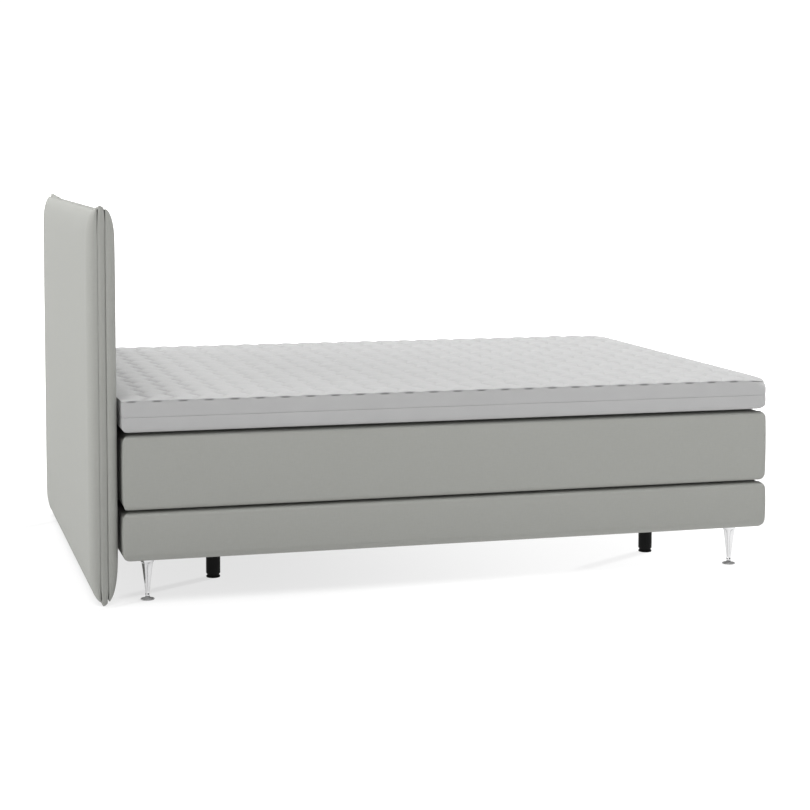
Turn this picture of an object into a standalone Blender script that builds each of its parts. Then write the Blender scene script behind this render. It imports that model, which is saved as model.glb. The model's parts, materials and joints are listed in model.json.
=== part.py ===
"""Box spring bed with a padded headboard, a mattress and a quilted topper.

Metres, +Z up. The floor is Z = 0, the headboard stands at +Y and the foot end
points to -Y. The origin lies on the floor under the middle of the whole bed.
"""

import math

import bmesh
import bpy
from mathutils import Matrix, Vector

# Overall sizes
BED_WIDTH = 1.44
BED_LENGTH = 2.0
PLAN_RADIUS = 0.03
LEAST_CORNER_RADIUS = 0.004
UNDERBED_CLEARANCE = 0.12
BASE_HEIGHT = 0.151
MATTRESS_HEIGHT = 0.2195
MATTRESS_INSET = 0.0015
TOPPER_BORDER_HEIGHT = 0.0905
HEADBOARD_WIDTH = 1.45
HEADBOARD_HEIGHT = 1.133
HEADBOARD_GAP = 0.009

# Clearance between pieces that touch, and how far a cut runs past a face
FIT_GAP = 0.0003
OVERRUN = 0.002

# Upholstery of the base and the mattress
WALL_PADDING = 0.014
HEM_THICKNESS = 0.006
HEM_WIDTH = 0.030
EDGE_RADIUS = 0.026

# Timber and springs in the base
RAIL_END_INSET = 0.060
RAIL_THICKNESS = 0.025
RAIL_HEIGHT = 0.045
BEAM_WIDTH = 0.060
SLAT_COUNT = 6
SLAT_WIDTH = 0.070
SLAT_THICKNESS = 0.012
BASE_FOAM_THICKNESS = 0.018
DUST_CLOTH_THICKNESS = 0.0015
LEG_BLOCK_MARGIN = 0.035

# Layers inside the mattress
EDGE_FOAM_WIDTH = 0.050
COMFORT_FOAM_THICKNESS = 0.045

# Chrome corner legs, sized from the floor up
CORNER_LEG_SIDE_INSET = 0.060
CORNER_LEG_FOOT_INSET = 0.102
CORNER_LEG_HEAD_INSET = 0.077
CORNER_LEG_TURN = math.radians(57)
GLIDE_RADIUS = 0.020
GLIDE_RIM_HEIGHT = 0.0025
GLIDE_DOME_RADIUS = 0.009
GLIDE_HEIGHT = 0.0055
GLIDE_PIN_RADIUS = 0.0035
GLIDE_PIN_LENGTH = 0.012
ANKLE_RADIUS = 0.0060
ANKLE_HEIGHT = 0.014
FIN_RADIUS_LOW = 0.0066
FIN_RADIUS_TOP = 0.0185
GROOVE_RADIUS_LOW = 0.0050
GROOVE_RADIUS_TOP = 0.0085
LEG_HEAD_RADIUS = 0.0190
LEG_HEAD_BOTTOM = 0.106
LEG_HEAD_CHAMFER = 0.002
STUD_RADIUS = 0.005
STUD_LENGTH = 0.025

# Black support legs with screw feet
SUPPORT_LEG_SIDE_INSET = 0.296
SUPPORT_LEG_HEAD_INSET = 0.309
SUPPORT_LEG_FOOT_INSET = 0.285
SUPPORT_LEG_RADIUS = 0.0215
SUPPORT_LEG_CHAMFER = 0.003
SUPPORT_LEG_BORE_DEPTH = 0.036
FOOT_RADIUS = 0.021
FOOT_DISC_HEIGHT = 0.0045
FOOT_NECK_RADIUS = 0.0183
FOOT_NECK_HEIGHT = 0.006
FOOT_PLUG_RADIUS = 0.015
FOOT_PLUG_LENGTH = 0.026
FOOT_EDGE = 0.001

# Headboard
BOARD_THICKNESS = 0.022
PAD_THICKNESS = 0.0307
PAD_CROWN = 0.002
PAD_EDGE_RUN = 0.062
PAD_RIM = 0.003
BAND_DEPTH = 0.016
BAND_GROOVE = 0.004
CORNER_EAR = 0.012
EAR_LENGTH = 0.12
HEADBOARD_FLOOR_GAP = 0.002
HEADBOARD_GLIDE_MARGIN = 0.061
HEADBOARD_GLIDE_RADIUS = 0.012

# Steel brackets that join the headboard to the base
BRACKET_SIDE_INSET = 0.32
BRACKET_WIDTH = 0.045
BRACKET_PLATE = 0.003
BRACKET_FOOT_LENGTH = 0.055
BRACKET_UPRIGHT = 0.150
BRACKET_SCREW_INSET = 0.0325
BRACKET_BOLT_DROP = 0.025
FASTENER_RADIUS = 0.004
FASTENER_HEAD_RADIUS = 0.0075
FASTENER_HEAD_HEIGHT = 0.004
RAIL_SCREW_LENGTH = 0.030
BOLT_TIP_CLEARANCE = 0.004

# Quilted topper
QUILT_CHANNELS = 27
QUILT_WAVES = 12
QUILT_WAVE_SWING = 0.010
QUILT_EDGE_RISE = 0.001
QUILT_CREST_RISE = 0.005
QUILT_MARGIN = 0.020
QUILT_PADDING = 0.020
TOPPER_FABRIC = 0.004
TOPPER_BOTTOM_RADIUS = 0.014
ZIP_HEIGHT = 0.003
ZIP_RECESS = 0.001
ZIP_LEVEL = 0.0425

# Shares, chosen by eye, of the sizes that they follow
ARC_STEPS = 4
ROUND_SIDES = 16
SMALL_SIDES = 12
EDGE_ARC_STEPS = 3
EAR_DISTANCE_SHARES = (0.3, 0.65, 1.0)
FIN_FLANK_SHARE = 0.32
FIN_LEVEL_SHARES = (0.0, 0.12, 0.35, 0.6, 0.82, 1.0)
FIN_FLARE_SHARES = (0.0, 0.06, 0.33, 0.58, 0.80, 1.0)
PAD_ARC_SHARES = (0.25, 0.5, 0.75, 1.0)
PAD_CROWN_INSET_SHARES = (0.4, 0.85)
PAD_CROWN_RISE_SHARES = (0.7, 1.0)
BAND_ARC_SHARES = (0.35, 0.75)
QUILT_END_ROW_SHARE = 0.48
GLIDE_PIN_SEAT_SHARE = 0.9

# Levels above the floor
BASE_BOTTOM = UNDERBED_CLEARANCE
BASE_TOP = BASE_BOTTOM + BASE_HEIGHT
MATTRESS_BOTTOM = BASE_TOP + FIT_GAP
MATTRESS_TOP = MATTRESS_BOTTOM + MATTRESS_HEIGHT
TOPPER_BOTTOM = MATTRESS_TOP + FIT_GAP
TOPPER_SEAM = TOPPER_BOTTOM + TOPPER_BORDER_HEIGHT
RAIL_BOTTOM = BASE_BOTTOM + HEM_THICKNESS + FIT_GAP
RAIL_TOP = RAIL_BOTTOM + RAIL_HEIGHT
CLOTH_BOTTOM = RAIL_BOTTOM - FIT_GAP - DUST_CLOTH_THICKNESS
LEG_TOP = CLOTH_BOTTOM - FIT_GAP

# Places along the bed
HEADBOARD_THICKNESS = BOARD_THICKNESS + 2 * (FIT_GAP + PAD_THICKNESS)
TOTAL_LENGTH = BED_LENGTH + HEADBOARD_GAP + HEADBOARD_THICKNESS
FOOT_Y = -TOTAL_LENGTH / 2
HEAD_Y = FOOT_Y + BED_LENGTH
BED_Y = (FOOT_Y + HEAD_Y) / 2
BOARD_Y = TOTAL_LENGTH / 2 - HEADBOARD_THICKNESS / 2
HALF_WIDTH = BED_WIDTH / 2
HALF_LENGTH = BED_LENGTH / 2
SUPPORT_LEG_X = HALF_WIDTH - SUPPORT_LEG_SIDE_INSET


def clear_scene():
    for old in list(bpy.data.objects):
        bpy.data.objects.remove(old, do_unlink=True)


def make_material(name, colour, roughness, metallic=0.0):
    made = bpy.data.materials.new(name)
    made.use_nodes = True
    shader = made.node_tree.nodes["Principled BSDF"]
    shader.inputs["Base Color"].default_value = (*colour, 1.0)
    shader.inputs["Roughness"].default_value = roughness
    shader.inputs["Metallic"].default_value = metallic
    made.diffuse_color = (*colour, 1.0)
    return made


def make_empty(name, location, parent=None):
    empty = bpy.data.objects.new(name, None)
    bpy.context.collection.objects.link(empty)
    empty.parent = parent
    empty.location = Vector(location) - origin_of(parent)
    return empty


def origin_of(item):
    """World place of an unturned parent chain."""
    place = Vector((0.0, 0.0, 0.0))
    while item is not None:
        place += item.location
        item = item.parent
    return place


def make_mesh(name, points, faces):
    """A mesh with its faces pointing outwards."""
    mesh = bpy.data.meshes.new(name)
    mesh.from_pydata([tuple(p) for p in points], [], faces)
    shape = bmesh.new()
    shape.from_mesh(mesh)
    bmesh.ops.recalc_face_normals(shape, faces=shape.faces)
    shape.to_mesh(mesh)
    shape.free()
    return mesh


def place(name, mesh, material, location, parent, turn=0.0):
    """An object at a world location, under an unturned parent."""
    made = bpy.data.objects.new(name, mesh)
    bpy.context.collection.objects.link(made)
    if not mesh.materials:
        mesh.materials.append(material)
    made.parent = parent
    made.location = Vector(location) - origin_of(parent)
    made.rotation_euler = (0.0, 0.0, turn)
    return made


def soften(mesh, angle=math.radians(35)):
    mesh.shade_smooth()
    mesh.set_sharp_from_angle(angle=angle)
    return mesh


def loft(name, loops, closed=False):
    """Join loops of equal count with quads.

    An open loft has a cap on its first and last loop, and a closed one joins
    the last loop to the first.
    """
    count = len(loops[0])
    points = [p for loop in loops for p in loop]
    faces = []
    spans = len(loops) if closed else len(loops) - 1
    for row in range(spans):
        low = row * count
        high = (row + 1) % len(loops) * count
        for k in range(count):
            n = (k + 1) % count
            faces.append((low + k, low + n, high + n, high + k))
    if not closed:
        faces.append(tuple(range(count)))
        faces.append(tuple(range(len(points) - count, len(points))))
    return make_mesh(name, points, faces)


def make_box(name, low, high):
    """A block between two corners."""
    bottom = [(low[0], low[1]), (high[0], low[1]), (high[0], high[1]), (low[0], high[1])]
    loops = [[(x, y, z) for x, y in bottom] for z in (low[2], high[2])]
    return loft(name, loops)


def centred_box(name, size_x, size_y, size_z):
    """A block whose bottom face is centred on the object's origin."""
    return make_box(name, (-size_x / 2, -size_y / 2, 0.0), (size_x / 2, size_y / 2, size_z))


def rounded_loop(half_x, half_y, radius, z):
    """A rectangle with arcs at its four corners, at one height."""
    radius = max(radius, LEAST_CORNER_RADIUS)
    loop = []
    corners = ((1, -1, -90), (1, 1, 0), (-1, 1, 90), (-1, -1, 180))
    for side_x, side_y, start in corners:
        for step in range(ARC_STEPS + 1):
            angle = math.radians(start + 90 * step / ARC_STEPS)
            x = side_x * (half_x - radius) + radius * math.cos(angle)
            y = side_y * (half_y - radius) + radius * math.sin(angle)
            loop.append((x, y, z))
    return loop


def inset_loop(inset, z, half_x=HALF_WIDTH, half_y=HALF_LENGTH, radius=PLAN_RADIUS):
    """The bed's plan outline drawn in by an inset."""
    return rounded_loop(half_x - inset, half_y - inset, radius - inset, z)


def turned_loop(radius, z, sides=ROUND_SIDES):
    return [
        (radius * math.cos(math.tau * k / sides), radius * math.sin(math.tau * k / sides), z)
        for k in range(sides)
    ]


def turned(name, profile, sides=ROUND_SIDES):
    """A shape turned about Z from (radius, z) pairs, capped at both ends."""
    return soften(loft(name, [turned_loop(r, z, sides) for r, z in profile]))


def drill(target, holes):
    """Cut round holes, each (world start, axis vector with length, radius, sides, turn)."""
    shape = bmesh.new()
    for start, reach, radius, sides, turn in holes:
        along = Vector(reach)
        pin = loft("hole", [turned_loop(radius, z, sides) for z in (0.0, along.length)])
        heading = along.to_track_quat("Z", "Y").to_matrix().to_4x4()
        if along.z == along.length:
            heading = Matrix.Rotation(turn, 4, "Z")
        pin.transform(Matrix.Translation(Vector(start)) @ heading)
        shape.from_mesh(pin)
    holes_mesh = bpy.data.meshes.new("holes")
    shape.to_mesh(holes_mesh)
    shape.free()
    cutter = bpy.data.objects.new("holes", holes_mesh)
    bpy.context.collection.objects.link(cutter)
    cutter.hide_render = True
    cutter.display_type = "WIRE"
    cut = target.modifiers.new("holes", "BOOLEAN")
    cut.operation = "DIFFERENCE"
    cut.solver = "EXACT"
    cut.object = cutter
    bpy.context.view_layer.update()
    depsgraph = bpy.context.evaluated_depsgraph_get()
    finished = bpy.data.meshes.new_from_object(target.evaluated_get(depsgraph))
    target.modifiers.clear()
    target.data = finished
    bpy.data.objects.remove(cutter, do_unlink=True)


def upholstered_shell(name, height, inset):
    """An open-bottomed cover with rounded edges, padded walls and a hem under it."""
    loops = [inset_loop(inset + EDGE_RADIUS, height)]
    for step in range(1, EDGE_ARC_STEPS + 1):
        angle = math.pi / 2 * step / EDGE_ARC_STEPS
        drawn_in = EDGE_RADIUS * (1 - math.sin(angle))
        drop = EDGE_RADIUS * (1 - math.cos(angle))
        loops.append(inset_loop(inset + drawn_in, height - drop))
    for step in range(EDGE_ARC_STEPS + 1):
        angle = math.pi / 2 * step / EDGE_ARC_STEPS
        drawn_in = EDGE_RADIUS * (1 - math.cos(angle))
        rise = EDGE_RADIUS * (1 - math.sin(angle))
        loops.append(inset_loop(inset + drawn_in, rise))
    loops.append(inset_loop(inset + HEM_WIDTH, 0.0))
    loops.append(inset_loop(inset + HEM_WIDTH, HEM_THICKNESS))
    loops.append(inset_loop(inset + WALL_PADDING, HEM_THICKNESS))
    loops.append(inset_loop(inset + WALL_PADDING, height - WALL_PADDING))
    return soften(loft(name, loops))


def flat_slab(name, inset, thickness):
    """A slab of the bed's plan outline, drawn in by an inset."""
    return loft(name, [inset_loop(inset, 0.0), inset_loop(inset, thickness)])


def build_base(parts, finish, bed):
    """The upholstered base with its frame, springs, foam and dust cloth."""
    centre = (0.0, BED_Y)
    padding = WALL_PADDING + FIT_GAP
    cover = upholstered_shell("base_cover", BASE_HEIGHT, 0.0)
    parts["base_cover"] = place(
        "base_cover", cover, finish["grey_fabric"], (*centre, BASE_BOTTOM), bed
    )
    cloth = flat_slab("base_dust_cloth", HEM_WIDTH + FIT_GAP, DUST_CLOTH_THICKNESS)
    parts["base_dust_cloth"] = place(
        "base_dust_cloth", cloth, finish["dust_cloth"], (*centre, CLOTH_BOTTOM), bed
    )

    rail_x = HALF_WIDTH - padding - RAIL_THICKNESS / 2
    side_length = BED_LENGTH - 2 * RAIL_END_INSET
    side_rail = centred_box("base_side_rail", RAIL_THICKNESS, side_length, RAIL_HEIGHT)
    for side, x in (("left", -rail_x), ("right", rail_x)):
        name = f"base_side_rail_{side}"
        parts[name] = place(name, side_rail, finish["pine"], (x, BED_Y, RAIL_BOTTOM), bed)

    end_width = BED_WIDTH - 2 * RAIL_END_INSET
    for end, y in (
        ("head", HEAD_Y - padding - RAIL_THICKNESS / 2),
        ("foot", FOOT_Y + padding + RAIL_THICKNESS / 2),
    ):
        name = f"base_{end}_rail"
        mesh = centred_box(name, end_width, RAIL_THICKNESS, RAIL_HEIGHT)
        parts[name] = place(name, mesh, finish["pine"], (0.0, y, RAIL_BOTTOM), bed)

    beam_length = BED_LENGTH - 2 * (padding + RAIL_THICKNESS + FIT_GAP)
    for side, x in (("left", -SUPPORT_LEG_X), ("right", SUPPORT_LEG_X)):
        name = f"base_beam_{side}"
        mesh = centred_box(name, BEAM_WIDTH, beam_length, RAIL_HEIGHT)
        parts[name] = place(name, mesh, finish["pine"], (x, BED_Y, RAIL_BOTTOM), bed)

    slat_z = RAIL_TOP + FIT_GAP
    slat_length = BED_WIDTH - 2 * padding
    slat = centred_box("base_slat", slat_length, SLAT_WIDTH, SLAT_THICKNESS)
    first_y = -side_length / 2 + SLAT_WIDTH / 2
    spacing = -2 * first_y / (SLAT_COUNT - 1)
    for number in range(SLAT_COUNT):
        name = f"base_slat_{number + 1}"
        y = BED_Y + first_y + spacing * number
        parts[name] = place(name, slat, finish["pine"], (0.0, y, slat_z), bed)

    spring_z = slat_z + SLAT_THICKNESS + FIT_GAP
    ceiling = BASE_TOP - WALL_PADDING
    foam_z = ceiling - FIT_GAP - BASE_FOAM_THICKNESS
    springs = flat_slab("base_spring_unit", padding, foam_z - FIT_GAP - spring_z)
    parts["base_spring_unit"] = place(
        "base_spring_unit", springs, finish["spring_pocket"], (*centre, spring_z), bed
    )
    foam = flat_slab("base_foam", padding, BASE_FOAM_THICKNESS)
    parts["base_foam"] = place("base_foam", foam, finish["foam"], (*centre, foam_z), bed)


def corner_places():
    """Name and world X, Y of each corner leg."""
    x = HALF_WIDTH - CORNER_LEG_SIDE_INSET
    foot = FOOT_Y + CORNER_LEG_FOOT_INSET
    head = HEAD_Y - CORNER_LEG_HEAD_INSET
    return (
        ("head_left", -x, head),
        ("head_right", x, head),
        ("foot_left", -x, foot),
        ("foot_right", x, foot),
    )


def support_places():
    """Name and world X, Y of each support leg."""
    x = SUPPORT_LEG_X
    foot = FOOT_Y + SUPPORT_LEG_FOOT_INSET
    head = HEAD_Y - SUPPORT_LEG_HEAD_INSET
    return (
        ("head_left", -x, head),
        ("head_right", x, head),
        ("foot_left", -x, foot),
        ("foot_right", x, foot),
    )


def build_leg_blocks(parts, finish, bed):
    """Blocks in the frame's corners that take the corner legs' studs."""
    inner = WALL_PADDING + RAIL_THICKNESS + 2 * FIT_GAP
    for label, x, y in corner_places():
        side = math.copysign(1.0, x)
        end = math.copysign(1.0, y - BED_Y)
        outer_x = side * (HALF_WIDTH - inner)
        outer_y = BED_Y + end * (HALF_LENGTH - inner)
        inner_x = x - side * LEG_BLOCK_MARGIN
        inner_y = y - end * LEG_BLOCK_MARGIN
        size_x = abs(outer_x - inner_x)
        size_y = abs(outer_y - inner_y)
        name = f"leg_block_{label}"
        mesh = centred_box(name, size_x, size_y, RAIL_HEIGHT)
        middle = ((outer_x + inner_x) / 2, (outer_y + inner_y) / 2, RAIL_BOTTOM)
        parts[name] = place(name, mesh, finish["pine"], middle, bed)


def finned_loop(fin_radius, groove_radius, z):
    """A four-finned star, with a fin at every fourth point."""
    flank = groove_radius + (fin_radius - groove_radius) * FIN_FLANK_SHARE
    radii = (fin_radius, flank, groove_radius, flank)
    loop = []
    for k in range(ROUND_SIDES):
        angle = math.tau * k / ROUND_SIDES
        radius = radii[k % len(radii)]
        loop.append((radius * math.cos(angle), radius * math.sin(angle), z))
    return loop


def corner_leg_mesh():
    """A cast leg: bored ankle, four fins that flare upwards, a round head and a stud."""
    bore = GLIDE_PIN_RADIUS + FIT_GAP
    bore_top = ANKLE_HEIGHT + GLIDE_PIN_LENGTH
    loops = [
        turned_loop(bore, bore_top),
        turned_loop(bore, ANKLE_HEIGHT),
        turned_loop(ANKLE_RADIUS, ANKLE_HEIGHT),
    ]
    fin_bottom = ANKLE_HEIGHT + LEG_HEAD_CHAMFER
    for level, flare in zip(FIN_LEVEL_SHARES, FIN_FLARE_SHARES):
        z = fin_bottom + (LEG_HEAD_BOTTOM - fin_bottom) * level
        fin = FIN_RADIUS_LOW + (FIN_RADIUS_TOP - FIN_RADIUS_LOW) * flare
        groove = GROOVE_RADIUS_LOW + (GROOVE_RADIUS_TOP - GROOVE_RADIUS_LOW) * flare
        loops.append(finned_loop(fin, groove, z))
    loops += [
        turned_loop(LEG_HEAD_RADIUS, LEG_HEAD_BOTTOM + LEG_HEAD_CHAMFER),
        turned_loop(LEG_HEAD_RADIUS, LEG_TOP),
        turned_loop(STUD_RADIUS, LEG_TOP),
        turned_loop(STUD_RADIUS, LEG_TOP + STUD_LENGTH),
    ]
    return soften(loft("corner_leg", loops))


def corner_glide_mesh():
    """A domed disc on the floor with a neck and a pin up into the leg."""
    neck_top = ANKLE_HEIGHT - FIT_GAP
    pin_top = ANKLE_HEIGHT + GLIDE_PIN_LENGTH * GLIDE_PIN_SEAT_SHARE
    return turned(
        "corner_glide",
        (
            (GLIDE_RADIUS, 0.0),
            (GLIDE_RADIUS, GLIDE_RIM_HEIGHT),
            (GLIDE_DOME_RADIUS, GLIDE_HEIGHT),
            (ANKLE_RADIUS, GLIDE_HEIGHT + LEG_HEAD_CHAMFER),
            (ANKLE_RADIUS, neck_top),
            (GLIDE_PIN_RADIUS, neck_top),
            (GLIDE_PIN_RADIUS, pin_top),
        ),
    )


def build_corner_legs(parts, finish, bed):
    """Four chrome legs on glides, each screwed up into its block."""
    leg = corner_leg_mesh()
    glide = corner_glide_mesh()
    for label, x, y in corner_places():
        name = f"corner_leg_{label}"
        parts[name] = place(name, leg, finish["chrome"], (x, y, 0.0), bed, CORNER_LEG_TURN)
        name = f"corner_glide_{label}"
        parts[name] = place(
            name, glide, finish["grey_plastic"], (x, y, 0.0), bed, CORNER_LEG_TURN
        )
        drill(parts[f"leg_block_{label}"], [stud_hole(x, y, CORNER_LEG_TURN)])


def stud_hole(x, y, turn=0.0):
    """The hole that a leg's stud needs, from under the cloth into the timber."""
    start = (x, y, CLOTH_BOTTOM - OVERRUN)
    reach = LEG_TOP + STUD_LENGTH + OVERRUN - start[2]
    return (start, (0.0, 0.0, reach), STUD_RADIUS + FIT_GAP, ROUND_SIDES, turn)


def support_leg_mesh():
    """A round leg with a bore for its screw foot and a stud on top."""
    bore = FOOT_PLUG_RADIUS + FIT_GAP
    bottom = FOOT_DISC_HEIGHT + FOOT_NECK_HEIGHT
    return turned(
        "support_leg",
        (
            (bore, bottom + SUPPORT_LEG_BORE_DEPTH),
            (bore, bottom),
            (SUPPORT_LEG_RADIUS - SUPPORT_LEG_CHAMFER, bottom),
            (SUPPORT_LEG_RADIUS, bottom + SUPPORT_LEG_CHAMFER),
            (SUPPORT_LEG_RADIUS, LEG_TOP),
            (STUD_RADIUS, LEG_TOP),
            (STUD_RADIUS, LEG_TOP + STUD_LENGTH),
        ),
    )


def screw_foot_mesh():
    """A foot disc with a neck below the leg and a threaded plug inside it."""
    neck_top = FOOT_DISC_HEIGHT + FOOT_NECK_HEIGHT - FIT_GAP
    return turned(
        "screw_foot",
        (
            (FOOT_RADIUS - FOOT_EDGE, 0.0),
            (FOOT_RADIUS, FOOT_EDGE),
            (FOOT_RADIUS, FOOT_DISC_HEIGHT),
            (FOOT_NECK_RADIUS, FOOT_DISC_HEIGHT + FOOT_EDGE),
            (FOOT_NECK_RADIUS, neck_top),
            (FOOT_PLUG_RADIUS, neck_top),
            (FOOT_PLUG_RADIUS, neck_top + FOOT_PLUG_LENGTH),
        ),
    )


def build_support_legs(parts, finish, bed):
    """Four black legs under the beams, each with a foot that screws down."""
    leg = support_leg_mesh()
    foot = screw_foot_mesh()
    beam_holes = {"left": [], "right": []}
    for label, x, y in support_places():
        name = f"support_leg_{label}"
        parts[name] = place(name, leg, finish["black_plastic"], (x, y, 0.0), bed)
        slide = make_empty(f"screw_foot_axis_{label}", (x, y, 0.0), bed)
        name = f"screw_foot_{label}"
        parts[name] = place(name, foot, finish["black_plastic"], (x, y, 0.0), slide)
        beam_holes["left" if x < 0 else "right"].append(stud_hole(x, y))
    for side, holes in beam_holes.items():
        drill(parts[f"base_beam_{side}"], holes)


def drill_dust_cloth(parts):
    """Holes in the dust cloth for every leg's stud."""
    holes = [stud_hole(x, y, CORNER_LEG_TURN) for _, x, y in corner_places()]
    holes += [stud_hole(x, y) for _, x, y in support_places()]
    drill(parts["base_dust_cloth"], holes)


def headboard_outline(inset, y, ear_share):
    """The headboard's outline in the XZ plane, drawn in by an inset.

    The sides run straight between the corners, and each corner stands out from
    them by an ear that fades away along the side.
    """
    half_x = HEADBOARD_WIDTH / 2 - CORNER_EAR - inset
    half_z = HEADBOARD_HEIGHT / 2 - CORNER_EAR - inset
    ear = CORNER_EAR * ear_share
    loop = []
    corners = ((1, -1), (1, 1), (-1, 1), (-1, -1))
    for index, (side_x, side_z) in enumerate(corners):
        next_x, next_z = corners[(index + 1) % len(corners)]
        start = Vector((side_x * (half_x + ear), side_z * (half_z + ear)))
        loop.append((start.x, y, start.y))
        along = Vector((next_x - side_x, next_z - side_z)) / 2
        outward = Vector((side_x + next_x, side_z + next_z)) / 2
        middle = Vector((outward.x * half_x, outward.y * half_z))
        half_run = abs(along.x) * half_x + abs(along.y) * half_z
        for share in EAR_DISTANCE_SHARES:
            fade = ear * (1 + math.cos(math.pi * share)) / 2
            reach = half_run + ear - (EAR_LENGTH + ear) * share
            point = middle + outward * fade - along * reach
            loop.append((point.x, y, point.y))
        for share in reversed(EAR_DISTANCE_SHARES):
            fade = ear * (1 + math.cos(math.pi * share)) / 2
            reach = half_run + ear - (EAR_LENGTH + ear) * share
            point = middle + outward * fade + along * reach
            loop.append((point.x, y, point.y))
    return loop


def headboard_pad_mesh(name, facing):
    """A padded half: an elliptical edge all round and a slight crown."""
    back = facing * (BOARD_THICKNESS / 2 + FIT_GAP)
    face = PAD_THICKNESS - PAD_CROWN
    loops = [
        headboard_outline(BAND_GROOVE, back, 1.0),
        headboard_outline(BAND_GROOVE, back + facing * PAD_RIM, 1.0),
    ]
    for share in PAD_ARC_SHARES:
        angle = math.pi / 2 * share
        inset = BAND_GROOVE + (PAD_EDGE_RUN - BAND_GROOVE) * (1 - math.cos(angle))
        depth = PAD_RIM + (face - PAD_RIM) * math.sin(angle)
        loops.append(headboard_outline(inset, back + facing * depth, 1 - share))
    half_span = min(HEADBOARD_WIDTH, HEADBOARD_HEIGHT) / 2 - CORNER_EAR - EAR_LENGTH
    for share, rise in zip(PAD_CROWN_INSET_SHARES, PAD_CROWN_RISE_SHARES):
        depth = face + PAD_CROWN * rise
        inset = PAD_EDGE_RUN + (half_span - PAD_EDGE_RUN) * share
        loops.append(headboard_outline(inset, back + facing * depth, 0.0))
    return soften(loft(name, loops))


def headboard_band_mesh():
    """The rounded band round the board, between the two pads."""
    half = BOARD_THICKNESS / 2
    outer = []
    for share in BAND_ARC_SHARES:
        angle = math.pi / 2 * share
        outer.append((BAND_GROOVE * (1 - math.sin(angle)), half * math.cos(angle)))
    section = [(BAND_DEPTH, half, 0.0), (BAND_GROOVE, half, 1.0)]
    section += [(inset, y, 1.0) for inset, y in outer]
    section += [(0.0, 0.0, 1.0)]
    section += [(inset, -y, 1.0) for inset, y in reversed(outer)]
    section += [(BAND_GROOVE, -half, 1.0), (BAND_DEPTH, -half, 0.0)]
    loops = [headboard_outline(inset, y, ear) for inset, y, ear in section]
    return soften(loft("headboard_edge_band", loops, closed=True))


def build_headboard(parts, finish, bed):
    """Board, two pads, the band round them and two glides."""
    centre_z = HEADBOARD_FLOOR_GAP + HEADBOARD_HEIGHT / 2
    centre = (0.0, BOARD_Y, centre_z)
    board_inset = CORNER_EAR + BAND_DEPTH + FIT_GAP
    board_x = HEADBOARD_WIDTH / 2 - board_inset
    board_z = HEADBOARD_HEIGHT / 2 - board_inset
    board = make_box(
        "headboard_board",
        (-board_x, -BOARD_THICKNESS / 2, -board_z),
        (board_x, BOARD_THICKNESS / 2, board_z),
    )
    parts["headboard_board"] = place("headboard_board", board, finish["plywood"], centre, bed)
    front = headboard_pad_mesh("headboard_front_pad", -1)
    parts["headboard_front_pad"] = place(
        "headboard_front_pad", front, finish["grey_fabric"], centre, bed
    )
    back = headboard_pad_mesh("headboard_back_pad", 1)
    parts["headboard_back_pad"] = place(
        "headboard_back_pad", back, finish["grey_fabric"], centre, bed
    )
    parts["headboard_edge_band"] = place(
        "headboard_edge_band", headboard_band_mesh(), finish["grey_fabric"], centre, bed
    )
    glide_top = HEADBOARD_FLOOR_GAP + CORNER_EAR - FIT_GAP
    glide = turned(
        "headboard_glide",
        ((HEADBOARD_GLIDE_RADIUS, 0.0), (HEADBOARD_GLIDE_RADIUS, glide_top)),
        SMALL_SIDES,
    )
    glide_x = HEADBOARD_WIDTH / 2 - CORNER_EAR - EAR_LENGTH - HEADBOARD_GLIDE_RADIUS
    glide_x -= HEADBOARD_GLIDE_MARGIN
    for side, x in (("left", -glide_x), ("right", glide_x)):
        name = f"headboard_glide_{side}"
        parts[name] = place(name, glide, finish["black_plastic"], (x, BOARD_Y, 0.0), bed)


def bracket_mesh():
    """An L of flat steel, from under the base's head end up against the front pad.

    Its origin is the outer corner of the L, on the pad's side.
    """
    half = BRACKET_WIDTH / 2
    outline = (
        (0.0, 0.0),
        (0.0, BRACKET_UPRIGHT),
        (-BRACKET_PLATE, BRACKET_UPRIGHT),
        (-BRACKET_PLATE, BRACKET_PLATE),
        (-BRACKET_FOOT_LENGTH, BRACKET_PLATE),
        (-BRACKET_FOOT_LENGTH, 0.0),
    )
    loops = [[(x, y, z) for y, z in outline] for x in (-half, half)]
    return loft("headboard_bracket", loops)


def fastener_mesh(name, shank):
    """A round head below a shank that points along +Z, with its seat at Z = 0."""
    return turned(
        name,
        (
            (FASTENER_HEAD_RADIUS, -FASTENER_HEAD_HEIGHT),
            (FASTENER_HEAD_RADIUS, -FIT_GAP),
            (FASTENER_RADIUS, -FIT_GAP),
            (FASTENER_RADIUS, shank),
        ),
        SMALL_SIDES,
    )


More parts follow.
